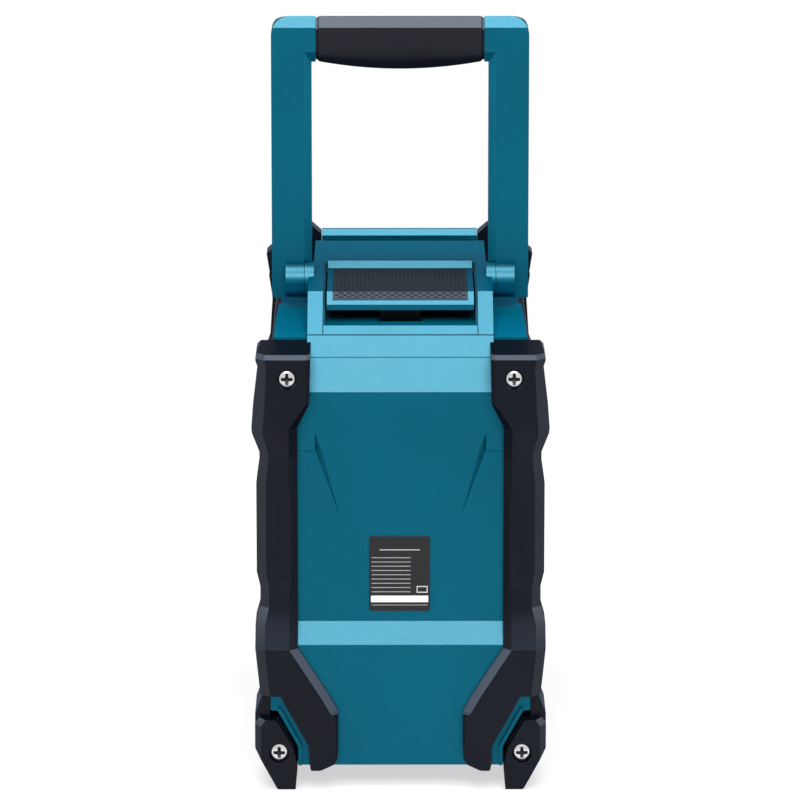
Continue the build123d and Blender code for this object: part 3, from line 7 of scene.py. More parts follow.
import bmesh
import bpy
from mathutils import Matrix, Vector


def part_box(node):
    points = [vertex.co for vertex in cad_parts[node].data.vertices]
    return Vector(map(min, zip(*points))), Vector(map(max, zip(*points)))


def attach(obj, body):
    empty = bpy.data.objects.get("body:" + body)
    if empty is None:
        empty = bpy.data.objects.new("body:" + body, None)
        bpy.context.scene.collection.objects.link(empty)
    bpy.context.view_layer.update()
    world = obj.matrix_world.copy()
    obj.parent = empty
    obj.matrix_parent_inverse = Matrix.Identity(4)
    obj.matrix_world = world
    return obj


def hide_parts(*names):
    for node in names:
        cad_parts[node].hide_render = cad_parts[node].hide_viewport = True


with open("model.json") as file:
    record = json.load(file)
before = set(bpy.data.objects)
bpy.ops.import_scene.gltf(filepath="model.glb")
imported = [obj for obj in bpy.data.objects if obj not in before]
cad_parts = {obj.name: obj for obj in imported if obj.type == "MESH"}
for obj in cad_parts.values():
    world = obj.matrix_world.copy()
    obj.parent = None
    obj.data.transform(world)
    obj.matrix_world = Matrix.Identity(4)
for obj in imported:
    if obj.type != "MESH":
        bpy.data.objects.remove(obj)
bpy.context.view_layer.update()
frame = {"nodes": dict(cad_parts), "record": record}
MM = 0.001
NODES = frame["nodes"]
BODY_OF = {node: body for body, nodes in frame["record"]["behaviour"]["bodies"].items() for node in nodes}
SIDES = {"left": -1, "right": 1}


# ---------------------------------------------------------------- shader maths
class Signal:
    """A shader socket that takes part in Python expressions."""

    def __init__(self, tree, socket):
        self.tree = tree
        self.socket = socket

    def math(self, operation, *terms):
        return node(self.tree, "ShaderNodeMath", {"operation": operation}, dict(enumerate(terms)))

    def __add__(self, other):
        return self.math("ADD", self, other)

    def __sub__(self, other):
        return self.math("SUBTRACT", self, other)

    def __mul__(self, other):
        return self.math("MULTIPLY", self, other)

    def __truediv__(self, other):
        return self.math("DIVIDE", self, other)

    def __lt__(self, other):
        return self.math("LESS_THAN", self, other)

    def __gt__(self, other):
        return self.math("GREATER_THAN", self, other)

    def __abs__(self):
        return self.math("ABSOLUTE", self)

    def __rsub__(self, other):
        return self.math("SUBTRACT", other, self)

    __radd__ = __add__
    __rmul__ = __mul__

    def fraction(self):
        return self.math("FRACT", self)

    def either(self, other):
        return self.math("MAXIMUM", self, other)

    def within(self, low, high):
        """1 between two values, 0 outside them."""
        return (self > low) * (self < high)

    def ramp(self, low, high, start=0.0, end=1.0):
        """Maps low..high to start..end, held at both ends."""
        return node(self.tree, "ShaderNodeMapRange", {"clamp": True},
                    {"Value": self, "From Min": low, "From Max": high, "To Min": start, "To Max": end})


def node(tree, kind, settings=None, sockets=None, output=0):
    """Adds a node: its settings first, then the values or links of its sockets."""
    made = tree.nodes.new(kind)
    for key, value in (settings or {}).items():
        setattr(made, key, value)
    for key, value in (sockets or {}).items():
        if isinstance(value, Signal):
            tree.links.new(value.socket, made.inputs[key])
        elif isinstance(value, tuple) and len(value) == 3 and made.inputs[key].type == "RGBA":
            made.inputs[key].default_value = (*value, 1.0)
        else:
            made.inputs[key].default_value = value
    return Signal(tree, made.outputs[output]) if made.outputs else None


def seen_directly(tree):
    """1 for rays from the camera and for what metal and glass show, 0 for light that falls on things."""
    camera_ray, glossy_ray, transmission_ray = (node(tree, "ShaderNodeLightPath", output=name) for name in
                                                ("Is Camera Ray", "Is Glossy Ray", "Is Transmission Ray"))
    return camera_ray.either(glossy_ray).either(transmission_ray)


class Finish:
    """A material under construction, with the patterns that its finishes share."""

    def __init__(self, name):
        self.material = bpy.data.materials.new(name)
        self.material.use_nodes = True
        self.tree = self.material.node_tree
        self.tree.nodes.clear()
        self.place = self.add("ShaderNodeTexCoord", output="Object")

    def add(self, kind, settings=None, sockets=None, output=0):
        return node(self.tree, kind, settings, sockets, output)

    def noise(self, scale, detail=2.0, roughness=0.5):
        return self.add("ShaderNodeTexNoise", {}, {"Vector": self.place, "Scale": scale, "Detail": detail,
                                                   "Roughness": roughness})

    def cells(self, scale):
        """A random value for each cell of a cell pattern."""
        colour = self.add("ShaderNodeTexVoronoi", {}, {"Vector": self.place, "Scale": scale}, "Color")
        return self.add("ShaderNodeSeparateColor", {}, {0: colour})

    def axes(self):
        """The point's x, y and z in millimetres."""
        return [self.add("ShaderNodeSeparateXYZ", {}, {0: self.place}, axis) * 1000 for axis in "XYZ"]

    def facing(self, axis):
        """How far the surface faces along one axis, from -1 to 1."""
        normal = self.add("ShaderNodeTexCoord", output="Normal")
        return self.add("ShaderNodeSeparateXYZ", {}, {0: normal}, axis)

    def upward_highlight(self):
        """1 on slopes that face upwards, where a paler colour is mixed in as a painted highlight."""
        upward = self.facing("Z")
        return upward.ramp(0.12, 0.36) * upward.ramp(0.86, 0.97, 1.0, 0.0)

    def side_bevel_highlight(self):
        """1 on bevels that face outwards to the left or right, where a paler colour is mixed in as a painted
        highlight.
        """
        sideways = self.facing("X")
        outward = (sideways * self.axes()[0]) > 0.0
        return outward * abs(sideways).ramp(0.22, 0.42) * abs(sideways).ramp(0.86, 0.96, 1.0, 0.0)

    def mix(self, factor, low, high):
        return self.add("ShaderNodeMix", {"data_type": "RGBA"}, {0: factor, 6: low, 7: high}, 2)

    def bump(self, height, depth, strength=1.0):
        return self.add("ShaderNodeBump", {}, {"Height": height, "Distance": depth, "Strength": strength})

    def close(self, colour, roughness, metallic=0.0, normal=None, **constants):
        """Puts the surface together. Constants are the shader's own sockets, by name with underscores."""
        sockets = {"Base Color": colour, "Roughness": roughness, "Metallic": metallic}
        if normal is not None:
            sockets["Normal"] = normal
        sockets.update({key.replace("_", " "): value for key, value in constants.items()})
        surface = self.add("ShaderNodeBsdfPrincipled", {}, sockets)
        self.add("ShaderNodeOutputMaterial", {}, {"Surface": surface})
        return self.material


# ---------------------------------------------------------------- materials
TEAL_DARK = (0.0, 0.070, 0.116)
TEAL_LIGHT = (0.0, 0.104, 0.163)
TEAL_EDGE = (0.0, 0.24, 0.32)
# colour of the painted highlight on upward teal slopes
TEAL_HIGHLIGHT = (0.026, 0.100, 0.137)
RECESS_SEAM = 43.9        # seam between the rails and the latch's surround, from the middle
RECESS_REAR = -101.5
RAIL_LIP = 256.5
BROW_FOLD = 247.0         # height at which the door's brow folds


def teal_shell(name, grooves=None, lift=1.0):
    """Moulded shell coloured with metal flake: fine sparkle under a thin satin skin.
    grooves=finish-to-mask draws its seams, and lift multiplies its ground colour: painted light that brightens
    surfaces the lamps leave too dark."""
    finish = Finish(name)
    grain = finish.noise(1700, 2.0)
    cloud = finish.noise(18, 2.0)
    flake = finish.cells(2100)
    shade = grain.ramp(0.3, 0.7) * 0.45 + cloud.ramp(0.3, 0.7) * 0.2 + flake * 0.35
    # lift brightens the ground colour: painted light
    dark, light = (tuple(lift * channel for channel in tone) for tone in (TEAL_DARK, TEAL_LIGHT))
    colour = finish.mix(shade, dark, light)
    # painted highlight: upward slopes are mixed towards a paler teal
    colour = finish.mix(finish.upward_highlight() * shade.ramp(0.1, 0.9, 0.62, 1.0), colour, TEAL_HIGHLIGHT)
    height = grain * 0.5 + flake * 0.5
    if grooves:
        mask = grooves(finish)
        colour = finish.mix(mask, colour, tuple(0.2 * channel for channel in TEAL_DARK))
        height = height - mask * 8.0
    rough = grain.ramp(0.3, 0.7, 0.30, 0.38) + cloud.ramp(0.35, 0.65, 0.0, 0.03)
    return finish.close(colour, rough, flake.ramp(0.0, 1.0, 0.61, 0.75), finish.bump(height, 0.00004, 0.8),
                        Specular_Tint=(*TEAL_EDGE, 1.0), Specular_IOR_Level=0.0, Coat_Weight=0.028,
                        Coat_Roughness=0.3, Coat_IOR=2.5)


def rail_seams(finish):
    x, y, z = finish.axes()
    return abs(abs(x) - RECESS_SEAM).ramp(0.14, 0.3, 1.0, 0.0) * (y < RECESS_REAR) * (z > RAIL_LIP)


def brow_seam(finish):
    x, y, z = finish.axes()
    return abs(z - BROW_FOLD).ramp(0.12, 0.34, 0.7, 0.0) * (y < -100.0)


# colour of the painted highlight on upward black slopes
BLACK_HIGHLIGHT = (0.029, 0.041, 0.061)
# colour of the painted highlight on outward side bevels
BLACK_SIDE_HIGHLIGHT = (0.013, 0.0155, 0.021)
FOOT_STEP = 134.0         # the painted highlights stop at the feet's outer faces, this far from the middle
FOOT_TOP = 44.0


def matt_black(name, dark, light, roughness, grain, depth, sheen, painted_shade_below=0.0, highlight_share=1.0, highlight_mask=None):
    """Black moulding or elastomer with a spark-eroded grain. Below a given height in millimetres its coat
    thins: painted shade on the underside.
    Its upward slopes get a paler colour, a painted highlight, at a given share; where a mask function is given,
    they get it only where the mask says, and its outward bevels then get a painted highlight too."""
    finish = Finish(name)
    fine = finish.noise(grain, 3.0, 0.6)
    broad = finish.noise(14, 2.0)
    colour = finish.mix(broad.ramp(0.35, 0.65) * 0.5 + fine.ramp(0.35, 0.65) * 0.5, dark, light)
    if highlight_mask:
        # painted highlight on bevels that face outwards to the side
        colour = finish.mix(finish.side_bevel_highlight() * broad.ramp(0.3, 0.7, 0.7, 1.0), colour, BLACK_SIDE_HIGHLIGHT)
        highlight_share = highlight_mask(finish) * highlight_share
    # painted highlight: upward slopes are mixed towards a paler grey
    colour = finish.mix(finish.upward_highlight() * broad.ramp(0.3, 0.7, 0.8, 1.0) * highlight_share, colour, BLACK_HIGHLIGHT)
    rough = fine.ramp(0.3, 0.7, roughness - 0.04, roughness + 0.05) + broad.ramp(0.3, 0.7, 0.0, 0.04)
    # below this height the coat thins, so the underside shows less reflection: painted shade
    if painted_shade_below:
        x, y, z = finish.axes()
        sheen = z.ramp(painted_shade_below - 4.0, painted_shade_below + 4.0, 0.2 * sheen, sheen)
    return finish.close(colour, rough, 0.0, finish.bump(fine, depth), Specular_IOR_Level=0.0,
                        Coat_Weight=sheen, Coat_Roughness=0.75 * roughness, Coat_IOR=2.5)


def bright_metal(name, colour, roughness, streaks=900):
    """Plated steel or brass with faint streaks."""
    finish = Finish(name)
    stretched = finish.add("ShaderNodeMapping", {}, {"Vector": finish.place, "Scale": (1.0, 0.15, 1.0)})
    streak = finish.add("ShaderNodeTexNoise", {}, {"Vector": stretched, "Scale": streaks, "Detail": 2.0})
    tarnish = finish.noise(160, 3.0)
    shade = finish.mix(tarnish.ramp(0.35, 0.7), colour, tuple(0.82 * channel for channel in colour))
    rough = streak.ramp(0.3, 0.7, roughness - 0.05, roughness + 0.06)
    return finish.close(shade, rough, 1.0, finish.bump(streak, 0.00001))


def behind_foot_face(finish):
    """1 everywhere but on the outer faces of the feet and their bevels."""
    x, y, z = finish.axes()
    return (abs(y) < FOOT_STEP).either(z > FOOT_TOP)


teal = teal_shell("teal_shell")
# the frame's ground a quarter brighter: painted light on its rails and deck
teal_frame_painted_light = teal_shell("teal_frame_painted_light", rail_seams, 1.25)
teal_door = teal_shell("teal_door", brow_seam)
# the shoulders' ground 1.7 times brighter: painted light where the handle's arms darken them
teal_shoulder_painted_light = teal_shell("teal_shoulder_painted_light", lift=1.7)
elastomer = matt_black("black_elastomer", (0.0014, 0.0022, 0.0050), (0.0030, 0.0042, 0.0085),
                       roughness=0.36, grain=1500, depth=0.00004, sheen=0.054, highlight_mask=behind_foot_face)
# the pad's upward slopes get a weaker painted highlight
pad_rubber = matt_black("pad_rubber", (0.008, 0.012, 0.017), (0.014, 0.019, 0.027),
                        roughness=0.45, grain=1500, depth=0.00003, sheen=0.045, highlight_share=0.72)
# the grip's underside below 407 mm gets painted shade
grip_rubber = matt_black("grip_rubber", (0.003, 0.0034, 0.0060), (0.0055, 0.0064, 0.0105),
                         roughness=0.32, grain=1300, depth=0.00003, sheen=0.085, painted_shade_below=407.0)
black_shell = matt_black("black_shell", (0.006, 0.0065, 0.008), (0.011, 0.0118, 0.014),
                         roughness=0.5, grain=1100, depth=0.00007, sheen=0.05)
grille_coat = matt_black("grille_coat", (0.010, 0.010, 0.011), (0.018, 0.018, 0.020),
                         roughness=0.38, grain=2200, depth=0.00004, sheen=0.10)
paper_cone = matt_black("paper_cone", (0.012, 0.012, 0.012), (0.03, 0.03, 0.03),
                        roughness=0.8, grain=600, depth=0.0002, sheen=0.05)
plated = bright_metal("plated_steel", (0.66, 0.66, 0.67), 0.16)
dull_steel = bright_metal("dull_steel", (0.40, 0.40, 0.41), 0.34)
# near-black steel of the pins; also put on the screw recesses as painted shade
dark_steel_and_recess_shade = bright_metal("dark_steel_and_recess_shade", (0.018, 0.018, 0.020), 0.3)
brass = bright_metal("plated_brass", (0.78, 0.6, 0.28), 0.25)


def plate_foil():
    """Black foil of the rating plate: a blank white strip, thin rules, a small box and lines at its head and
    foot, all printed.
    """
    low, high = (Vector(corner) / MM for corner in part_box("rating_plate"))
    middle_x = (low.x + high.x) / 2
    width = high.x - low.x
    height = high.z - low.z
    finish = Finish("plate_foil")
    x, y, z = finish.axes()
    across = abs(x - middle_x)
    rise = (z - low.z) / height
    strip = rise.within(0.118, 0.205) * (across < 0.47 * width)
    lines = (rise * 17.5).fraction().within(0.42, 0.60)
    rows = lines * rise.within(0.23, 0.74) * (x < middle_x + 0.18 * width)
    row_ends = x > middle_x - 0.46 * width
    header = rise.within(0.815, 0.825) * (across < 0.33 * width)
    footer = rise.within(0.075, 0.085) * (across < 0.46 * width)
    box = rise.within(0.245, 0.335) * (x - middle_x).within(0.28 * width, 0.46 * width)
    hollow = rise.within(0.258, 0.322) * (x - middle_x).within(0.295 * width, 0.445 * width)
    marks = strip.either(rows * row_ends * 0.35).either(header * 0.6)
    marks = marks.either(footer * 0.3).either((box - hollow) * 0.6)
    grain = finish.noise(1200, 2.0)
    ground = finish.mix(grain, (0.006, 0.006, 0.007), (0.010, 0.010, 0.011))
    colour = finish.mix(marks, ground, (0.72, 0.72, 0.74))
    return finish.close(colour, grain.ramp(0.3, 0.7, 0.36, 0.44), 0.0, finish.bump(grain, 0.00001),
                        Specular_IOR_Level=0.25)


def board_mask():
    """Green solder mask with copper tracks and pale pads."""
    finish = Finish("board_mask")
    x, y, z = finish.axes()
    tracks = (x * 0.4).fraction().within(0.42, 0.62) * (finish.noise(30) > 0.5)
    pads = (finish.cells(260) > 0.93)
    colour = finish.mix(tracks, (0.010, 0.085, 0.035), (0.02, 0.14, 0.06))
    colour = finish.mix(pads, colour, (0.5, 0.5, 0.48))
    return finish.close(colour, 0.35, 0.0, finish.bump(tracks + pads, 0.00003))


def liquid_crystal():
    """Grey-green display: faint cell grid over a mottled ground."""
    finish = Finish("liquid_crystal")
    x, y, z = finish.axes()
    grid = (x * 0.5).fraction().within(0.0, 0.1).either((z * 0.5).fraction().within(0.0, 0.1))
    ground = finish.mix(finish.noise(40), (0.20, 0.25, 0.21), (0.25, 0.30, 0.25))
    colour = finish.mix(grid, ground, (0.16, 0.2, 0.17))
    return finish.close(colour, 0.3, 0.0, finish.bump(grid, 0.00001))


def clear_cover():
    """Clear polycarbonate with faint moulding ripple."""
    finish = Finish("clear_cover")
    ripple = finish.noise(60, 2.0)
    rough = ripple.ramp(0.3, 0.7, 0.04, 0.08)
    return finish.close((0.92, 0.95, 0.96), rough, 0.0, finish.bump(ripple, 0.00002), Alpha=0.22,
                        Specular_IOR_Level=0.5)


def printed(name, colour):
    """Screen-printed ink, a little worn."""
    finish = Finish(name)
    wear = finish.noise(900, 2.0)
    shade = finish.mix(wear.ramp(0.3, 0.75), colour, tuple(0.8 * channel for channel in colour))
    return finish.close(shade, wear.ramp(0.3, 0.7, 0.45, 0.6), 0.0, finish.bump(wear, 0.00001))


ink = printed("white_ink", (0.62, 0.63, 0.64))
segment_ink = printed("segment_ink", (0.02, 0.03, 0.025))


# ---------------------------------------------------------------- mesh helpers
def soften(target, width, angle, segments=2):
    """Rounds the edges of a piece with modifiers, its own mesh left as it is."""
    weld = target.modifiers.new("weld", "WELD")
    weld.merge_threshold = 0.00001
    flat = target.modifiers.new("flat", "DECIMATE")
    flat.decimate_type = "DISSOLVE"
    flat.angle_limit = math.radians(0.6)
    rounding = target.modifiers.new("rounding", "BEVEL")
    rounding.width = width * MM
    rounding.segments = segments
    rounding.limit_method = "ANGLE"
    rounding.angle_limit = math.radians(angle)
    rounding.use_clamp_overlap = True
    rounding.harden_normals = True
    for polygon in target.data.polygons:
        polygon.use_smooth = True
    sharp = target.modifiers.new("weights", "WEIGHTED_NORMAL")
    sharp.keep_sharp = True


def dress(name, material, edge=None, angle=28.0):
    """Gives a CAD node its material and rounded edges."""
    target = NODES[name]
    target.data.materials.clear()
    target.data.materials.append(material)
    if edge:
        soften(target, edge, angle)


def box_mm(name):
    """Lowest and highest corner of a CAD node, in millimetres."""
    return [Vector(corner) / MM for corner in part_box(name)]


def loft(mesh, rings):
    """Skins rings of as many points each, in millimetres, and closes both ends."""
    made = [[mesh.verts.new(Vector(point) * MM) for point in ring] for ring in rings]
    for ring, following in zip(made, made[1:]):
        for index, vertex in enumerate(ring):
            after = (index + 1) % len(ring)
            mesh.faces.new((vertex, ring[after], following[after], following[index]))
    mesh.faces.new(made[0])
    mesh.faces.new(made[-1])


def prism_x(mesh, outline, low, high):
    """An outline of (y, z) points, drawn out along x."""
    loft(mesh, [[(x, y, z) for y, z in outline] for x in (low, high)])


def prism_y(mesh, outline, low, high):
    """An outline of (x, z) points, drawn out along y."""
    loft(mesh, [[(x, y, z) for x, z in outline] for y in (low, high)])


def circle(middle, radius, steps):
    """Points of a circle about a middle, in the plane of an outline."""
    angles = [math.tau * step / steps for step in range(steps)]
    return [(middle[0] + radius * math.cos(angle), middle[1] + radius * math.sin(angle)) for angle in angles]


def rounded(low, high, radius, steps=5):
    """A rectangle's outline with rounded corners."""
    points = []
    corners = ((high[0], high[1]), (low[0], high[1]), (low[0], low[1]), (high[0], low[1]))
    for corner, (x, z) in enumerate(corners):
        middle = (x - radius if x == high[0] else x + radius, z - radius if z == high[1] else z + radius)
        for step in range(steps + 1):
            angle = math.radians(90 * corner + 90 * step / steps)
            points.append((middle[0] + radius * math.cos(angle), middle[1] + radius * math.sin(angle)))
    return points


def piece(name, mesh, material, body, replaced=(), smooth=35.0, edge=None):
    """Makes a piece from a bmesh, rides it on its body and hides the nodes that it replaces."""
    data = bpy.data.meshes.new(name)
    bmesh.ops.recalc_face_normals(mesh, faces=mesh.faces)
    mesh.to_mesh(data)
    mesh.free()
    data.materials.append(material)
    made = bpy.data.objects.new(name, data)
    bpy.context.scene.collection.objects.link(made)
    data.set_sharp_from_angle(angle=math.radians(smooth))
    if edge:
        soften(made, edge, smooth)
    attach(made, body)
    if replaced:
        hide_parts(*replaced)
    return made


# ---------------------------------------------------------------- carried-over nodes
for name in ("front_housing", "front_panel"):
    dress(name, teal, 0.45, 12.0)
dress("rear_housing", teal_shoulder_painted_light, 0.45, 12.0)
dress("rear_door", teal_door, 0.45, 12.0)
dress("top_frame", teal_frame_painted_light, 0.4, 12.0)
dress("handle", teal, 0.8, 18.0)
dress("latch_lever", teal, 0.6, 18.0)
for side in SIDES:
    for name in ("rear_bumper", "front_bumper", "foot_rear", "foot_front"):
        dress(f"{name}_{side}", elastomer, 0.7, 9.0)
    dress(f"side_panel_{side}", black_shell, 0.5)
for name in ("socket_cover", "aerial", "door_seal", "latch_hook"):
    dress(name, elastomer, 0.4)
for name in ("control_fascia", "battery_bay", "terminal_block", "aerial_foot", "volume_encoder", "usb_socket",
             "audio_socket", "dc_socket", "power_button", "mode_button",
             *(name for name in sorted(NODES) if name.startswith("preset_button"))):
    dress(name, black_shell, 0.3)
for name in ("speaker_baskets", "speaker_magnets", "latch_spring", "door_hinge_pins", "housing_screws"):
    dress(name, dull_steel, 0.2)
for name in ("latch_pin", "cover_pin", "handle_hinge_pins"):
    dress(name, dark_steel_and_recess_shade, 0.2)
dress("battery_contacts", brass, 0.1)
dress("speaker_cones", paper_cone)
dress("rating_plate", plate_foil(), 0.1)
dress("display_window", clear_cover())
dress("display_module", liquid_crystal())
boards = board_mask()
for name in ("control_board", "main_board"):
    dress(name, boards)


# ---------------------------------------------------------------- latch pad
PAD_BREAK_Y = -81.5       # where the pad bends down
PAD_RELIEF = 0.5          # height of its ribs and studs
PAD_SINK = 0.05           # how far ribs and studs reach into it
RIB_PITCH = 2.25
RIB_HALF = 0.62
RIB_FLARE = 0.15          # how much wider a rib's foot is on each side
STUD_PITCH = 4.5
STUD_ROWS = 4
STUD_HALF = (1.5, 0.95)


def latch_pad():
    """Rubber pad: fine ribs on the flat, a lattice of studs on the slope and a bead along its rear edge."""
    low, high = box_mm("latch_pad")
    points = [vertex.co / MM for vertex in NODES["latch_pad"].data.vertices]
    outline = sorted({(round(point.y, 2), round(point.z, 2)) for point in points})
    rear = max(point for point in outline if point[0] == outline[0][0])
    at_bend = [point for point in outline if abs(point[0] - PAD_BREAK_Y) < 0.1]
    bend = max(at_bend, key=lambda point: point[1])
    front = outline[-1]
    slope = Vector((bend[0] - rear[0], bend[1] - rear[1]))
    length = slope.length
    along = slope / length
    out = Vector((-along.y, along.x))
    sink = Vector(rear) - out * PAD_RELIEF
    mesh = bmesh.new()
    floor_bend = (bend[0] + 0.2, bend[1] - PAD_RELIEF)
    prism_x(mesh, [tuple(sink), floor_bend, (front[0], front[1] - PAD_RELIEF), (front[0], front[1] - 1.5),
                   (bend[0] + 0.5, bend[1] - 1.9), (rear[0] + 0.5, rear[1] - 1.9)], low.x, high.x)
    count = int((high.x - low.x - 2.0) / RIB_PITCH)
    for index in range(count + 1):
        x = (index - count / 2) * RIB_PITCH
        loft(mesh, [[(x - RIB_HALF - RIB_FLARE, y, z - PAD_RELIEF - PAD_SINK), (x - RIB_HALF, y, z),
                     (x + RIB_HALF, y, z), (x + RIB_HALF + RIB_FLARE, y, z - PAD_RELIEF - PAD_SINK)]
                    for y, z in ((bend[0] + 0.9, bend[1]), (front[0] - 0.9, front[1]))])
    for row in range(STUD_ROWS):
        place = length * (row + 0.72) / (STUD_ROWS + 0.35)
        shift = STUD_PITCH / 2 if row % 2 else 0.0
        for index in range(-8, 9):
            x = index * STUD_PITCH + shift
            if abs(x) > high.x - STUD_HALF[0] - 0.4:
                continue
            rings = []
            for lift, grow in ((-PAD_RELIEF - PAD_SINK, 1.0), (0.0, 0.62)):
                ring = []
                for u, v in ((1, 0), (0, 1), (-1, 0), (0, -1)):
                    spot = Vector(rear) + along * (place + v * STUD_HALF[1] * grow) + out * lift
                    ring.append((x + u * STUD_HALF[0] * grow, spot.x, spot.y))
                rings.append(ring)
            loft(mesh, rings)
    start = Vector(rear)
    bead = [start - out * PAD_RELIEF, start, start + along * 0.5, start + along * 0.6 - out * PAD_RELIEF]
    prism_x(mesh, [tuple(point) for point in bead], low.x, high.x)
    return piece("latch_pad_ribbed", mesh, pad_rubber, "latch", ("latch_pad",), 30.0)


latch_pad()


# ---------------------------------------------------------------- screws
SCREW_SPOTS = {"rear_bumper_screws": (63.7, 238.6), "front_bumper_screws": (63.7, 238.6),
               "foot_screws": (69.0, 21.7)}
HEAD_R = 4.9
HEAD_RISE = 0.9           # height of the dome
RECESS_REACH = 3.3        # length of an arm of the cross
RECESS_DEPTH = 1.9
RECESS_CENTRE = 1.5       # radius of the pit in the cross's middle
ARM_HALF = 1.05           # half width of an arm at its root
ARM_TAPER = 0.10
SHANK_R = 2.1
FOOT_SHANK = 49.0         # length of a foot's screw, from its face
SCREW_STEPS = 96


def screw_point(radius, step, level=None):
    """A point of the head's front, as (x, depth, z): a dome with a tapering cross sunk into it."""
    angle = math.tau * step / SCREW_STEPS
    u, v = radius * math.cos(angle), radius * math.sin(angle)
    if level is not None:
        return u, level, v
    dome = HEAD_RISE * (radius / HEAD_R) ** 2
    arm, reach = sorted((abs(u), abs(v)))
    in_arm = arm < ARM_HALF - ARM_TAPER * reach and reach < RECESS_REACH
    sunk = RECESS_DEPTH * (1.0 - reach / RECESS_REACH) ** 0.6 if in_arm else 0.0
    centre = RECESS_DEPTH * (1.0 - radius / RECESS_CENTRE) if radius < RECESS_CENTRE else 0.0
    return u, dome + max(sunk, centre), v


def cross_screw(mesh, x, face, z, shank_end):
    """A domed screw head with a cross recess. Its shank runs from the face to shank_end along y."""
    into = 1 if shank_end > face else -1
    radii = [0.05 + 0.15 * index for index in range(30)] + [4.6, 4.8]
    rings = [[screw_point(radius, step) for step in range(SCREW_STEPS)] for radius in radii]
    for radius, level in ((HEAD_R, 1.1), (HEAD_R, 2.2), (SHANK_R, 2.3), (SHANK_R, abs(shank_end - face))):
        rings.append([screw_point(radius, step, level) for step in range(SCREW_STEPS)])
    before = len(mesh.faces)
    loft(mesh, [[(x + u, face + into * depth, z + v) for u, depth, v in ring] for ring in rings])
    mesh.faces.ensure_lookup_table()
    for wall in mesh.faces[before:]:
        middle = wall.calc_center_median() / MM
        radius = math.hypot(middle.x - x, middle.z - z)
        sunk = abs(middle.y - face) - HEAD_RISE * (radius / HEAD_R) ** 2
        # the recess's walls take the second material, near-black steel: painted shade in the recess
        wall.material_index = 1 if radius < RECESS_REACH and sunk > 0.2 else 0


for name, (x, z) in SCREW_SPOTS.items():
    low, high = box_mm(name)
    heads = bmesh.new()
    ends = [end for end in (-1, 1) if (low.y if end < 0 else high.y) * end > 100.0]
    for end in ends:
        face = low.y if end < 0 else high.y
        length = (high.y - low.y) if len(ends) == 1 else FOOT_SHANK
        for side in SIDES.values():
            cross_screw(heads, side * x, face, z, face - end * length)
    screws = piece(name.replace("screws", "cross_screws"), heads, plated, BODY_OF[name], (name,),
                   24.0)
    # second material: near-black steel for the recesses, painted shade
    screws.data.materials.append(dark_steel_and_recess_shade)


# ---------------------------------------------------------------- grip
GRIP_BEVEL = 6.0
GRIP_FALL = 4.2           # how far the top falls to the front
GRIP_FACE = 19.0          # the flat faces' lower edge, below the top
GRIP_ENDS = 26.6          # the underside at the ends, below the top
GRIP_NOSE = 2.6           # the front edge's lower and upper bevel
GRIP_NOSE_Y = 2.0
GRIP_SECTIONS = 36
GRIP_STEPS = 24           # steps round the underside
GRIP_COLLAR = 0.9         # width and depth of the step at each end
GRIP_END_ROUND = 1.2
MARK_BARS = 4             # the small patch of bars on each face
MARK_HALF = 4.6
MARK_PITCH = 1.5


def grip_section(x, low, high):
    """The grip's outline at one place: bevelled top, flat faces and a round underside, lowest in the middle."""
    from_end = high.x - GRIP_COLLAR - abs(x)
    inset = GRIP_COLLAR
    if from_end > 0.0:
        inset = GRIP_END_ROUND * 0.7 * max(0.0, 1.0 - from_end / GRIP_END_ROUND) ** 2
    rear, front, top = low.y + inset, high.y - inset, high.z - inset
    middle = (rear + front) / 2
    floor_z = low.z + (high.z - GRIP_ENDS - low.z) * (x / high.x) ** 2 + inset
    face_z = high.z - GRIP_FACE
    half, hang = (front - rear) / 2, face_z - floor_z
    points = [(front, top - GRIP_FALL - GRIP_NOSE), (front - GRIP_NOSE_Y, top - GRIP_FALL),
              (rear + GRIP_BEVEL, top), (rear + GRIP_BEVEL - 1.0, top - 0.6), (rear, top - GRIP_BEVEL)]
    for step in range(GRIP_STEPS + 1):
        angle = math.pi * (1 + step / GRIP_STEPS)
        points.append((middle + half * math.cos(angle), face_z + hang * math.sin(angle)))
    return [(x, y, z) for y, z in points]


def handle_grip():
    """Rubber sleeve round the bar of the handle, with a small patch of fine bars on each face."""
    low, high = box_mm("handle_grip")
    reach = high.x - GRIP_COLLAR - 0.02
    shares = [2 * index / GRIP_SECTIONS - 1 for index in range(GRIP_SECTIONS + 1)]
    places = [reach * math.sin(math.pi / 2 * share) for share in shares]
    collar = [high.x - GRIP_COLLAR, high.x]
    places = [-x for x in reversed(collar)] + places + collar
    mesh = bmesh.new()
    loft(mesh, [grip_section(x, low, high) for x in places])
    mark_z = (low.z + high.z) / 2 + 3.0
    for y, out in ((low.y, -1), (high.y, 1)):
        for bar in range(MARK_BARS):
            z = mark_z + MARK_PITCH * (bar - (MARK_BARS - 1) / 2)
            prism_x(mesh, [(y - out * 0.2, z - 0.4), (y + out * 0.22, z - 0.22), (y + out * 0.22, z + 0.22),
                           (y - out * 0.2, z + 0.4)], -MARK_HALF, MARK_HALF)
    return piece("handle_grip_sleeve", mesh, grip_rubber, "handle", ("handle_grip",), 30.0)


handle_grip()


# ---------------------------------------------------------------- corner rims
RIM_W = 1.7
RIM_RISE = 0.35
CORNER_PATH = [(57.8, 13.4), (57.8, 24.3), (69.5, 45.7)]    # its outer edge, from the bottom up
CORNER_END = (70.1, 47.4)
CORNER_SHIFT = (0.0, 0.3, 0.45)   # how far its inner edge lies higher at each point, in widths


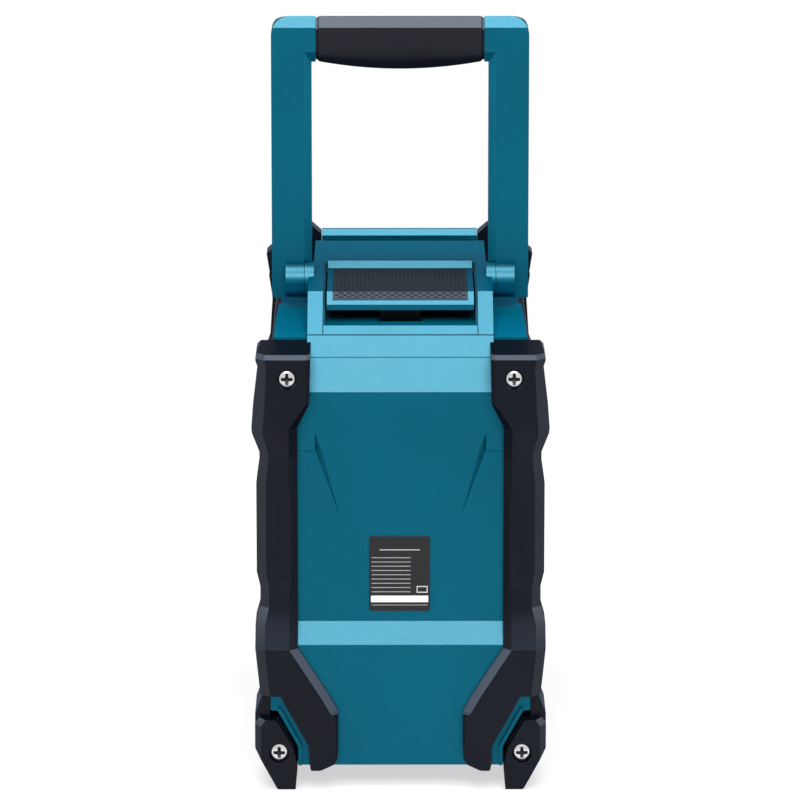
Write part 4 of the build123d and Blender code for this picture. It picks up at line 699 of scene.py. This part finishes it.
def corner_rim(name, side, end, body):
    """Raised border along the edge of the tray beside a foot."""
    low, high = box_mm("rear_door" if end < 0 else "front_panel")
    face = low.y if end < 0 else high.y
    inner = [(x - RIM_W, z + shift * RIM_W) for (x, z), shift in zip(CORNER_PATH, CORNER_SHIFT)]
    outline = [(side * x, z) for x, z in [*CORNER_PATH, CORNER_END, *reversed(inner)]]
    mesh = bmesh.new()
    prism_y(mesh, outline, face + 0.05 * -end, face + end * RIM_RISE)
    return piece(name, mesh, teal, body, smooth=20.0, edge=0.15)


# ---------------------------------------------------------------- speaker grilles
HOLE_PITCH = 3.7
HOLE_R = 1.28
MESH_R = 51.5             # the perforated field
MESH_BACK = -0.9          # back and face of the pressed plate, from the grille's skin
MESH_FACE = -0.2
GRILLE_DOME = 1.4
BEZEL_INNER = 50.6
BEZEL_STEPS = 120
HOLE_SIDES = 6


def grille_bulge(radius, level):
    """Height of the pressed plate over its rim at a radius."""
    return level + GRILLE_DOME * (1 - (radius / MESH_R) ** 2)


def speaker_grille(side_name, side):
    """Pressed steel plate with a hexagonal field of holes inside a rolled bezel."""
    name = f"speaker_grille_{side_name}"
    low, high = box_mm(name)
    middle_y, middle_z = (low.y + high.y) / 2, (low.z + high.z) / 2
    outer = high.y - middle_y
    skin = max(abs(low.x), abs(high.x))
    mesh = bmesh.new()
    rows = int(MESH_R / (HOLE_PITCH * math.sqrt(3) / 2))
    columns = int(MESH_R / HOLE_PITCH) + 1
    cell = HOLE_PITCH / math.sqrt(3)
    for row in range(-rows, rows + 1):
        z = row * HOLE_PITCH * math.sqrt(3) / 2
        for column in range(-columns, columns + 1):
            y = (column + (0.5 if row % 2 else 0.0)) * HOLE_PITCH
            if math.hypot(y, z) > MESH_R - 0.5:
                continue
            rings = []
            for radius, level in ((cell, MESH_BACK), (cell, MESH_FACE),
                                  (HOLE_R, MESH_FACE), (HOLE_R, MESH_BACK)):
                ring = []
                for corner in range(HOLE_SIDES):
                    angle = math.radians(30 + 60 * corner)
                    u, v = y + radius * math.cos(angle), z + radius * math.sin(angle)
                    x = side * (skin + grille_bulge(math.hypot(u, v), level))
                    ring.append(mesh.verts.new(Vector((x, middle_y + u, middle_z + v)) * MM))
                rings.append(ring)
            for first, second in ((1, 2), (2, 3), (3, 0)):
                for corner in range(HOLE_SIDES):
                    after = (corner + 1) % HOLE_SIDES
                    mesh.faces.new((rings[first][corner], rings[first][after], rings[second][after],
                                    rings[second][corner]))
    bmesh.ops.remove_doubles(mesh, verts=mesh.verts, dist=0.00002)
    profile = [(BEZEL_INNER, -1.3), (BEZEL_INNER, -0.2), (BEZEL_INNER + 0.5, 0.35), (BEZEL_INNER + 1.6, 0.6),
               (outer - 1.6, 0.6), (outer - 0.5, 0.35), (outer, -0.2), (outer, -1.3)]
    made = [[mesh.verts.new(Vector((side * (skin + level), middle_y + y, middle_z + z)) * MM)
             for y, z in circle((0, 0), radius, BEZEL_STEPS)] for radius, level in profile]
    for ring, following in zip(made, made[1:] + made[:1]):
        for index, vertex in enumerate(ring):
            after = (index + 1) % len(ring)
            mesh.faces.new((vertex, ring[after], following[after], following[index]))
    return piece(f"speaker_mesh_{side_name}", mesh, grille_coat, "radio", (name,), 35.0)


for side_name, side in SIDES.items():
    speaker_grille(side_name, side)
    corner_rim(f"door_corner_rim_{side_name}", side, -1, "door")
    corner_rim(f"panel_corner_rim_{side_name}", side, 1, "radio")


# ---------------------------------------------------------------- front controls
KNOB_FLUTES = 36
FLUTE_DEPTH = 0.7
KNOB_STEPS = 288
POINTER = (1.3, 6.0)      # width and length of the knob's pointer line
BORE_R = 3.0
FACE_PRINT = 0.12         # how far print stands out of its ground
PRINT_SINK = 0.05         # how far print reaches into it
KEY_FIGURE = 5.2          # heights of the printed figures
CLOCK_FIGURE = 17.0
STATION_FIGURE = 6.0


def volume_knob():
    """Fluted knob with a dished face, a plain skirt and a painted pointer."""
    low, high = box_mm("volume_knob")
    radius = high.x
    middle = (0.0, (low.z + high.z) / 2)
    back = min(box_mm("control_fascia")[1].y, high.y - 9.0)
    profile = [(radius, back, 0.0), (radius, back + 1.2, 0.0), (radius - 0.4, back + 1.8, 1.0),
               (radius - 0.7, high.y - 2.2, 1.0), (radius - 1.2, high.y - 1.0, 0.6),
               (radius - 2.2, high.y - 0.2, 0.15), (radius - 3.2, high.y, 0.0),
               (radius - 4.2, high.y - 0.3, 0.0), (radius - 6.0, high.y - 1.1, 0.0),
               (radius - 11.0, high.y - 1.7, 0.0), (0.6, high.y - 1.9, 0.0)]
    rings = [[(x, y, z) for x, z in circle(middle, BORE_R, KNOB_STEPS)] for y in (low.y, back)]
    for size, y, fluted in profile:
        ring = []
        for step in range(KNOB_STEPS):
            angle = math.tau * step / KNOB_STEPS
            wave = max(0.0, math.cos(angle * KNOB_FLUTES)) ** 0.7
            reach = size - fluted * FLUTE_DEPTH * wave
            ring.append((middle[0] + reach * math.cos(angle), y, middle[1] + reach * math.sin(angle)))
        rings.append(ring)
    mesh = bmesh.new()
    loft(mesh, rings)
    piece("volume_knob_fluted", mesh, black_shell, "knob", ("volume_knob",), 30.0)
    pointer = bmesh.new()
    half, length = POINTER[0] / 2, POINTER[1]
    tip = middle[1] + radius - 4.6
    loft(pointer, [[(-half, y, z), (half, y, z), (half, y + 0.3, z), (-half, y + 0.3, z)]
                   for y, z in ((high.y - 1.75, tip - length), (high.y - 0.75, tip))])
    piece("knob_pointer", pointer, ink, "knob")


def print_text(name, words, place, size, material, body):
    """Plain figures printed on a face that looks forward."""
    data = bpy.data.curves.new(name, "FONT")
    data.body = words
    data.align_x = "CENTER"
    data.align_y = "CENTER"
    data.size = size * MM
    data.extrude = FACE_PRINT / 2 * MM
    data.resolution_u = 3
    data.materials.append(material)
    made = bpy.data.objects.new(name, data)
    facing = Matrix(((-1, 0, 0), (0, 0, 1), (0, 1, 0))).to_4x4()
    made.matrix_world = Matrix.Translation(Vector(place) * MM) @ facing
    bpy.context.scene.collection.objects.link(made)
    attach(made, body)
    return made


volume_knob()
for name in sorted(NODES):
    if name.startswith("preset_button"):
        low, high = box_mm(name)
        print_text(f"{name}_figure", name[-1], ((low.x + high.x) / 2, high.y, (low.z + high.z) / 2), KEY_FIGURE,
                   ink, BODY_OF[name])
low, high = box_mm("display_module")
for name, words, z, size in (("display_figures", "12:45", (low.z + high.z) / 2 + 2, CLOCK_FIGURE),
                             ("display_line", "098.5", low.z + 5.5, STATION_FIGURE)):
    print_text(name, words, ((low.x + high.x) / 2, high.y + FACE_PRINT / 2, z), size, segment_ink, "radio")


STROKE_HALF = 0.35        # half width of a stroke of the marks
BAR_HALF = 2.4
BAR_PITCH = 1.8
RING_RADII = (2.6, 1.95)


def key_mark(name, body, bars):
    """A small printed mark on a round key: short bars, or an open ring with a stroke."""
    low, high = box_mm(name)
    x, z = (low.x + high.x) / 2, (low.z + high.z) / 2
    outlines = []
    for index in range(bars):
        level = z + BAR_PITCH * (index - (bars - 1) / 2)
        outlines.append(rounded((x - BAR_HALF, level - STROKE_HALF), (x + BAR_HALF, level + STROKE_HALF), 0.3))
    if not bars:
        outlines.append(rounded((x - STROKE_HALF, z + 0.6), (x + STROKE_HALF, z + 3.2), 0.3))
        arc = [math.radians(130 + 280 * step / 24) for step in range(25)]
        outer, inner = ([(x + radius * math.cos(angle), z + radius * math.sin(angle)) for angle in arc]
                        for radius in RING_RADII)
        outlines.append([*outer, *reversed(inner)])
    mesh = bmesh.new()
    for outline in outlines:
        prism_y(mesh, outline, high.y - PRINT_SINK, high.y + FACE_PRINT)
    piece(f"{name}_mark", mesh, ink, body)


key_mark("power_button", "power_key", 0)
key_mark("mode_button", "mode_key", 3)


# ---------------------------------------------------------------- stage, light and camera
AIM = Vector((-0.0003, -0.140, 0.2272))
CAMERA_SIDE = -0.0073     # how far the camera stands to the left of the middle
CAMERA_RISE = math.radians(12.2)
CAMERA_FAR = 2.975
FOCAL = 5310 * 36 / 800   # focal length in pixels of an 800-pixel frame, on a 36 mm sensor
WORLD_FILL = 0.22
FLOOR_NEAR = 0.35         # the shadow's zone on the floor, and where it has faded out
FLOOR_FAR = 1.4


def panel_light(name, place, aim, width, height, radiance):
    """A soft panel whose brightness is given as its radiance."""
    lamp = bpy.data.lights.new(name, "AREA")
    lamp.shape = "RECTANGLE"
    lamp.size, lamp.size_y = width, height
    lamp.energy = radiance * math.pi * width * height
    made = bpy.data.objects.new(name, lamp)
    made.location = place
    made.rotation_euler = (Vector(aim) - Vector(place)).to_track_quat("-Z", "Y").to_euler()
    bpy.context.scene.collection.objects.link(made)
    return made


panel_light("overhead", (0.0, -0.25, 2.6), (0.0, -0.08, 0.25), 2.0, 1.6, 7.6)
panel_light("front", (0.0, -2.25, 1.95), (0.0, -0.12, 0.2), 2.0, 1.4, 8.6)
for side_name, side in SIDES.items():
    panel_light(f"{side_name}_side", (side * 2.3, -0.5, 0.75), (0.0, -0.1, 0.2), 1.2, 1.1, 6.0)

world = bpy.data.worlds.new("studio")
world.use_nodes = True
bpy.context.scene.world = world
world.node_tree.nodes.clear()
strength = seen_directly(world.node_tree).ramp(0.0, 1.0, WORLD_FILL, 1.0)
glow = node(world.node_tree, "ShaderNodeBackground", {}, {"Color": (1.0, 1.0, 1.0), "Strength": strength})
node(world.node_tree, "ShaderNodeOutputWorld", {}, {"Surface": glow})

paper = Finish("studio_floor")
distance = paper.add("ShaderNodeVectorMath", {"operation": "LENGTH"}, {0: paper.place}, "Value")
pale = paper.mix(paper.noise(6.0, 2.0), (0.86, 0.86, 0.86), (0.9, 0.9, 0.9))
matt = paper.add("ShaderNodeBsdfDiffuse", {}, {"Color": pale})
lit = paper.add("ShaderNodeEmission", {}, {"Color": (1.0, 1.0, 1.0), "Strength": 1.0})
share = seen_directly(paper.tree) * distance.ramp(FLOOR_NEAR, FLOOR_FAR, 0.6, 1.0)
sheet = paper.add("ShaderNodeMixShader", {}, {0: share, 1: matt, 2: lit})
paper.add("ShaderNodeOutputMaterial", {}, {"Surface": sheet})
floor_mesh = bmesh.new()
bmesh.ops.create_grid(floor_mesh, x_segments=2, y_segments=2, size=30.0)
floor_data = bpy.data.meshes.new("floor")
floor_mesh.to_mesh(floor_data)
floor_mesh.free()
floor_data.materials.append(paper.material)
floor = bpy.data.objects.new("floor", floor_data)
bpy.context.scene.collection.objects.link(floor)

camera_data = bpy.data.cameras.new("camera")
camera_data.sensor_width = 36.0
camera_data.lens = FOCAL
camera_data.clip_end = 100.0
camera = bpy.data.objects.new("camera", camera_data)
camera.location = AIM + CAMERA_FAR * Vector((0.0, -math.cos(CAMERA_RISE), math.sin(CAMERA_RISE)))
camera.location.x = CAMERA_SIDE
camera.rotation_euler = (AIM - camera.location).to_track_quat("-Z", "Y").to_euler()
bpy.context.scene.collection.objects.link(camera)
bpy.context.scene.camera = camera
bpy.context.scene.view_settings.view_transform = "Standard"
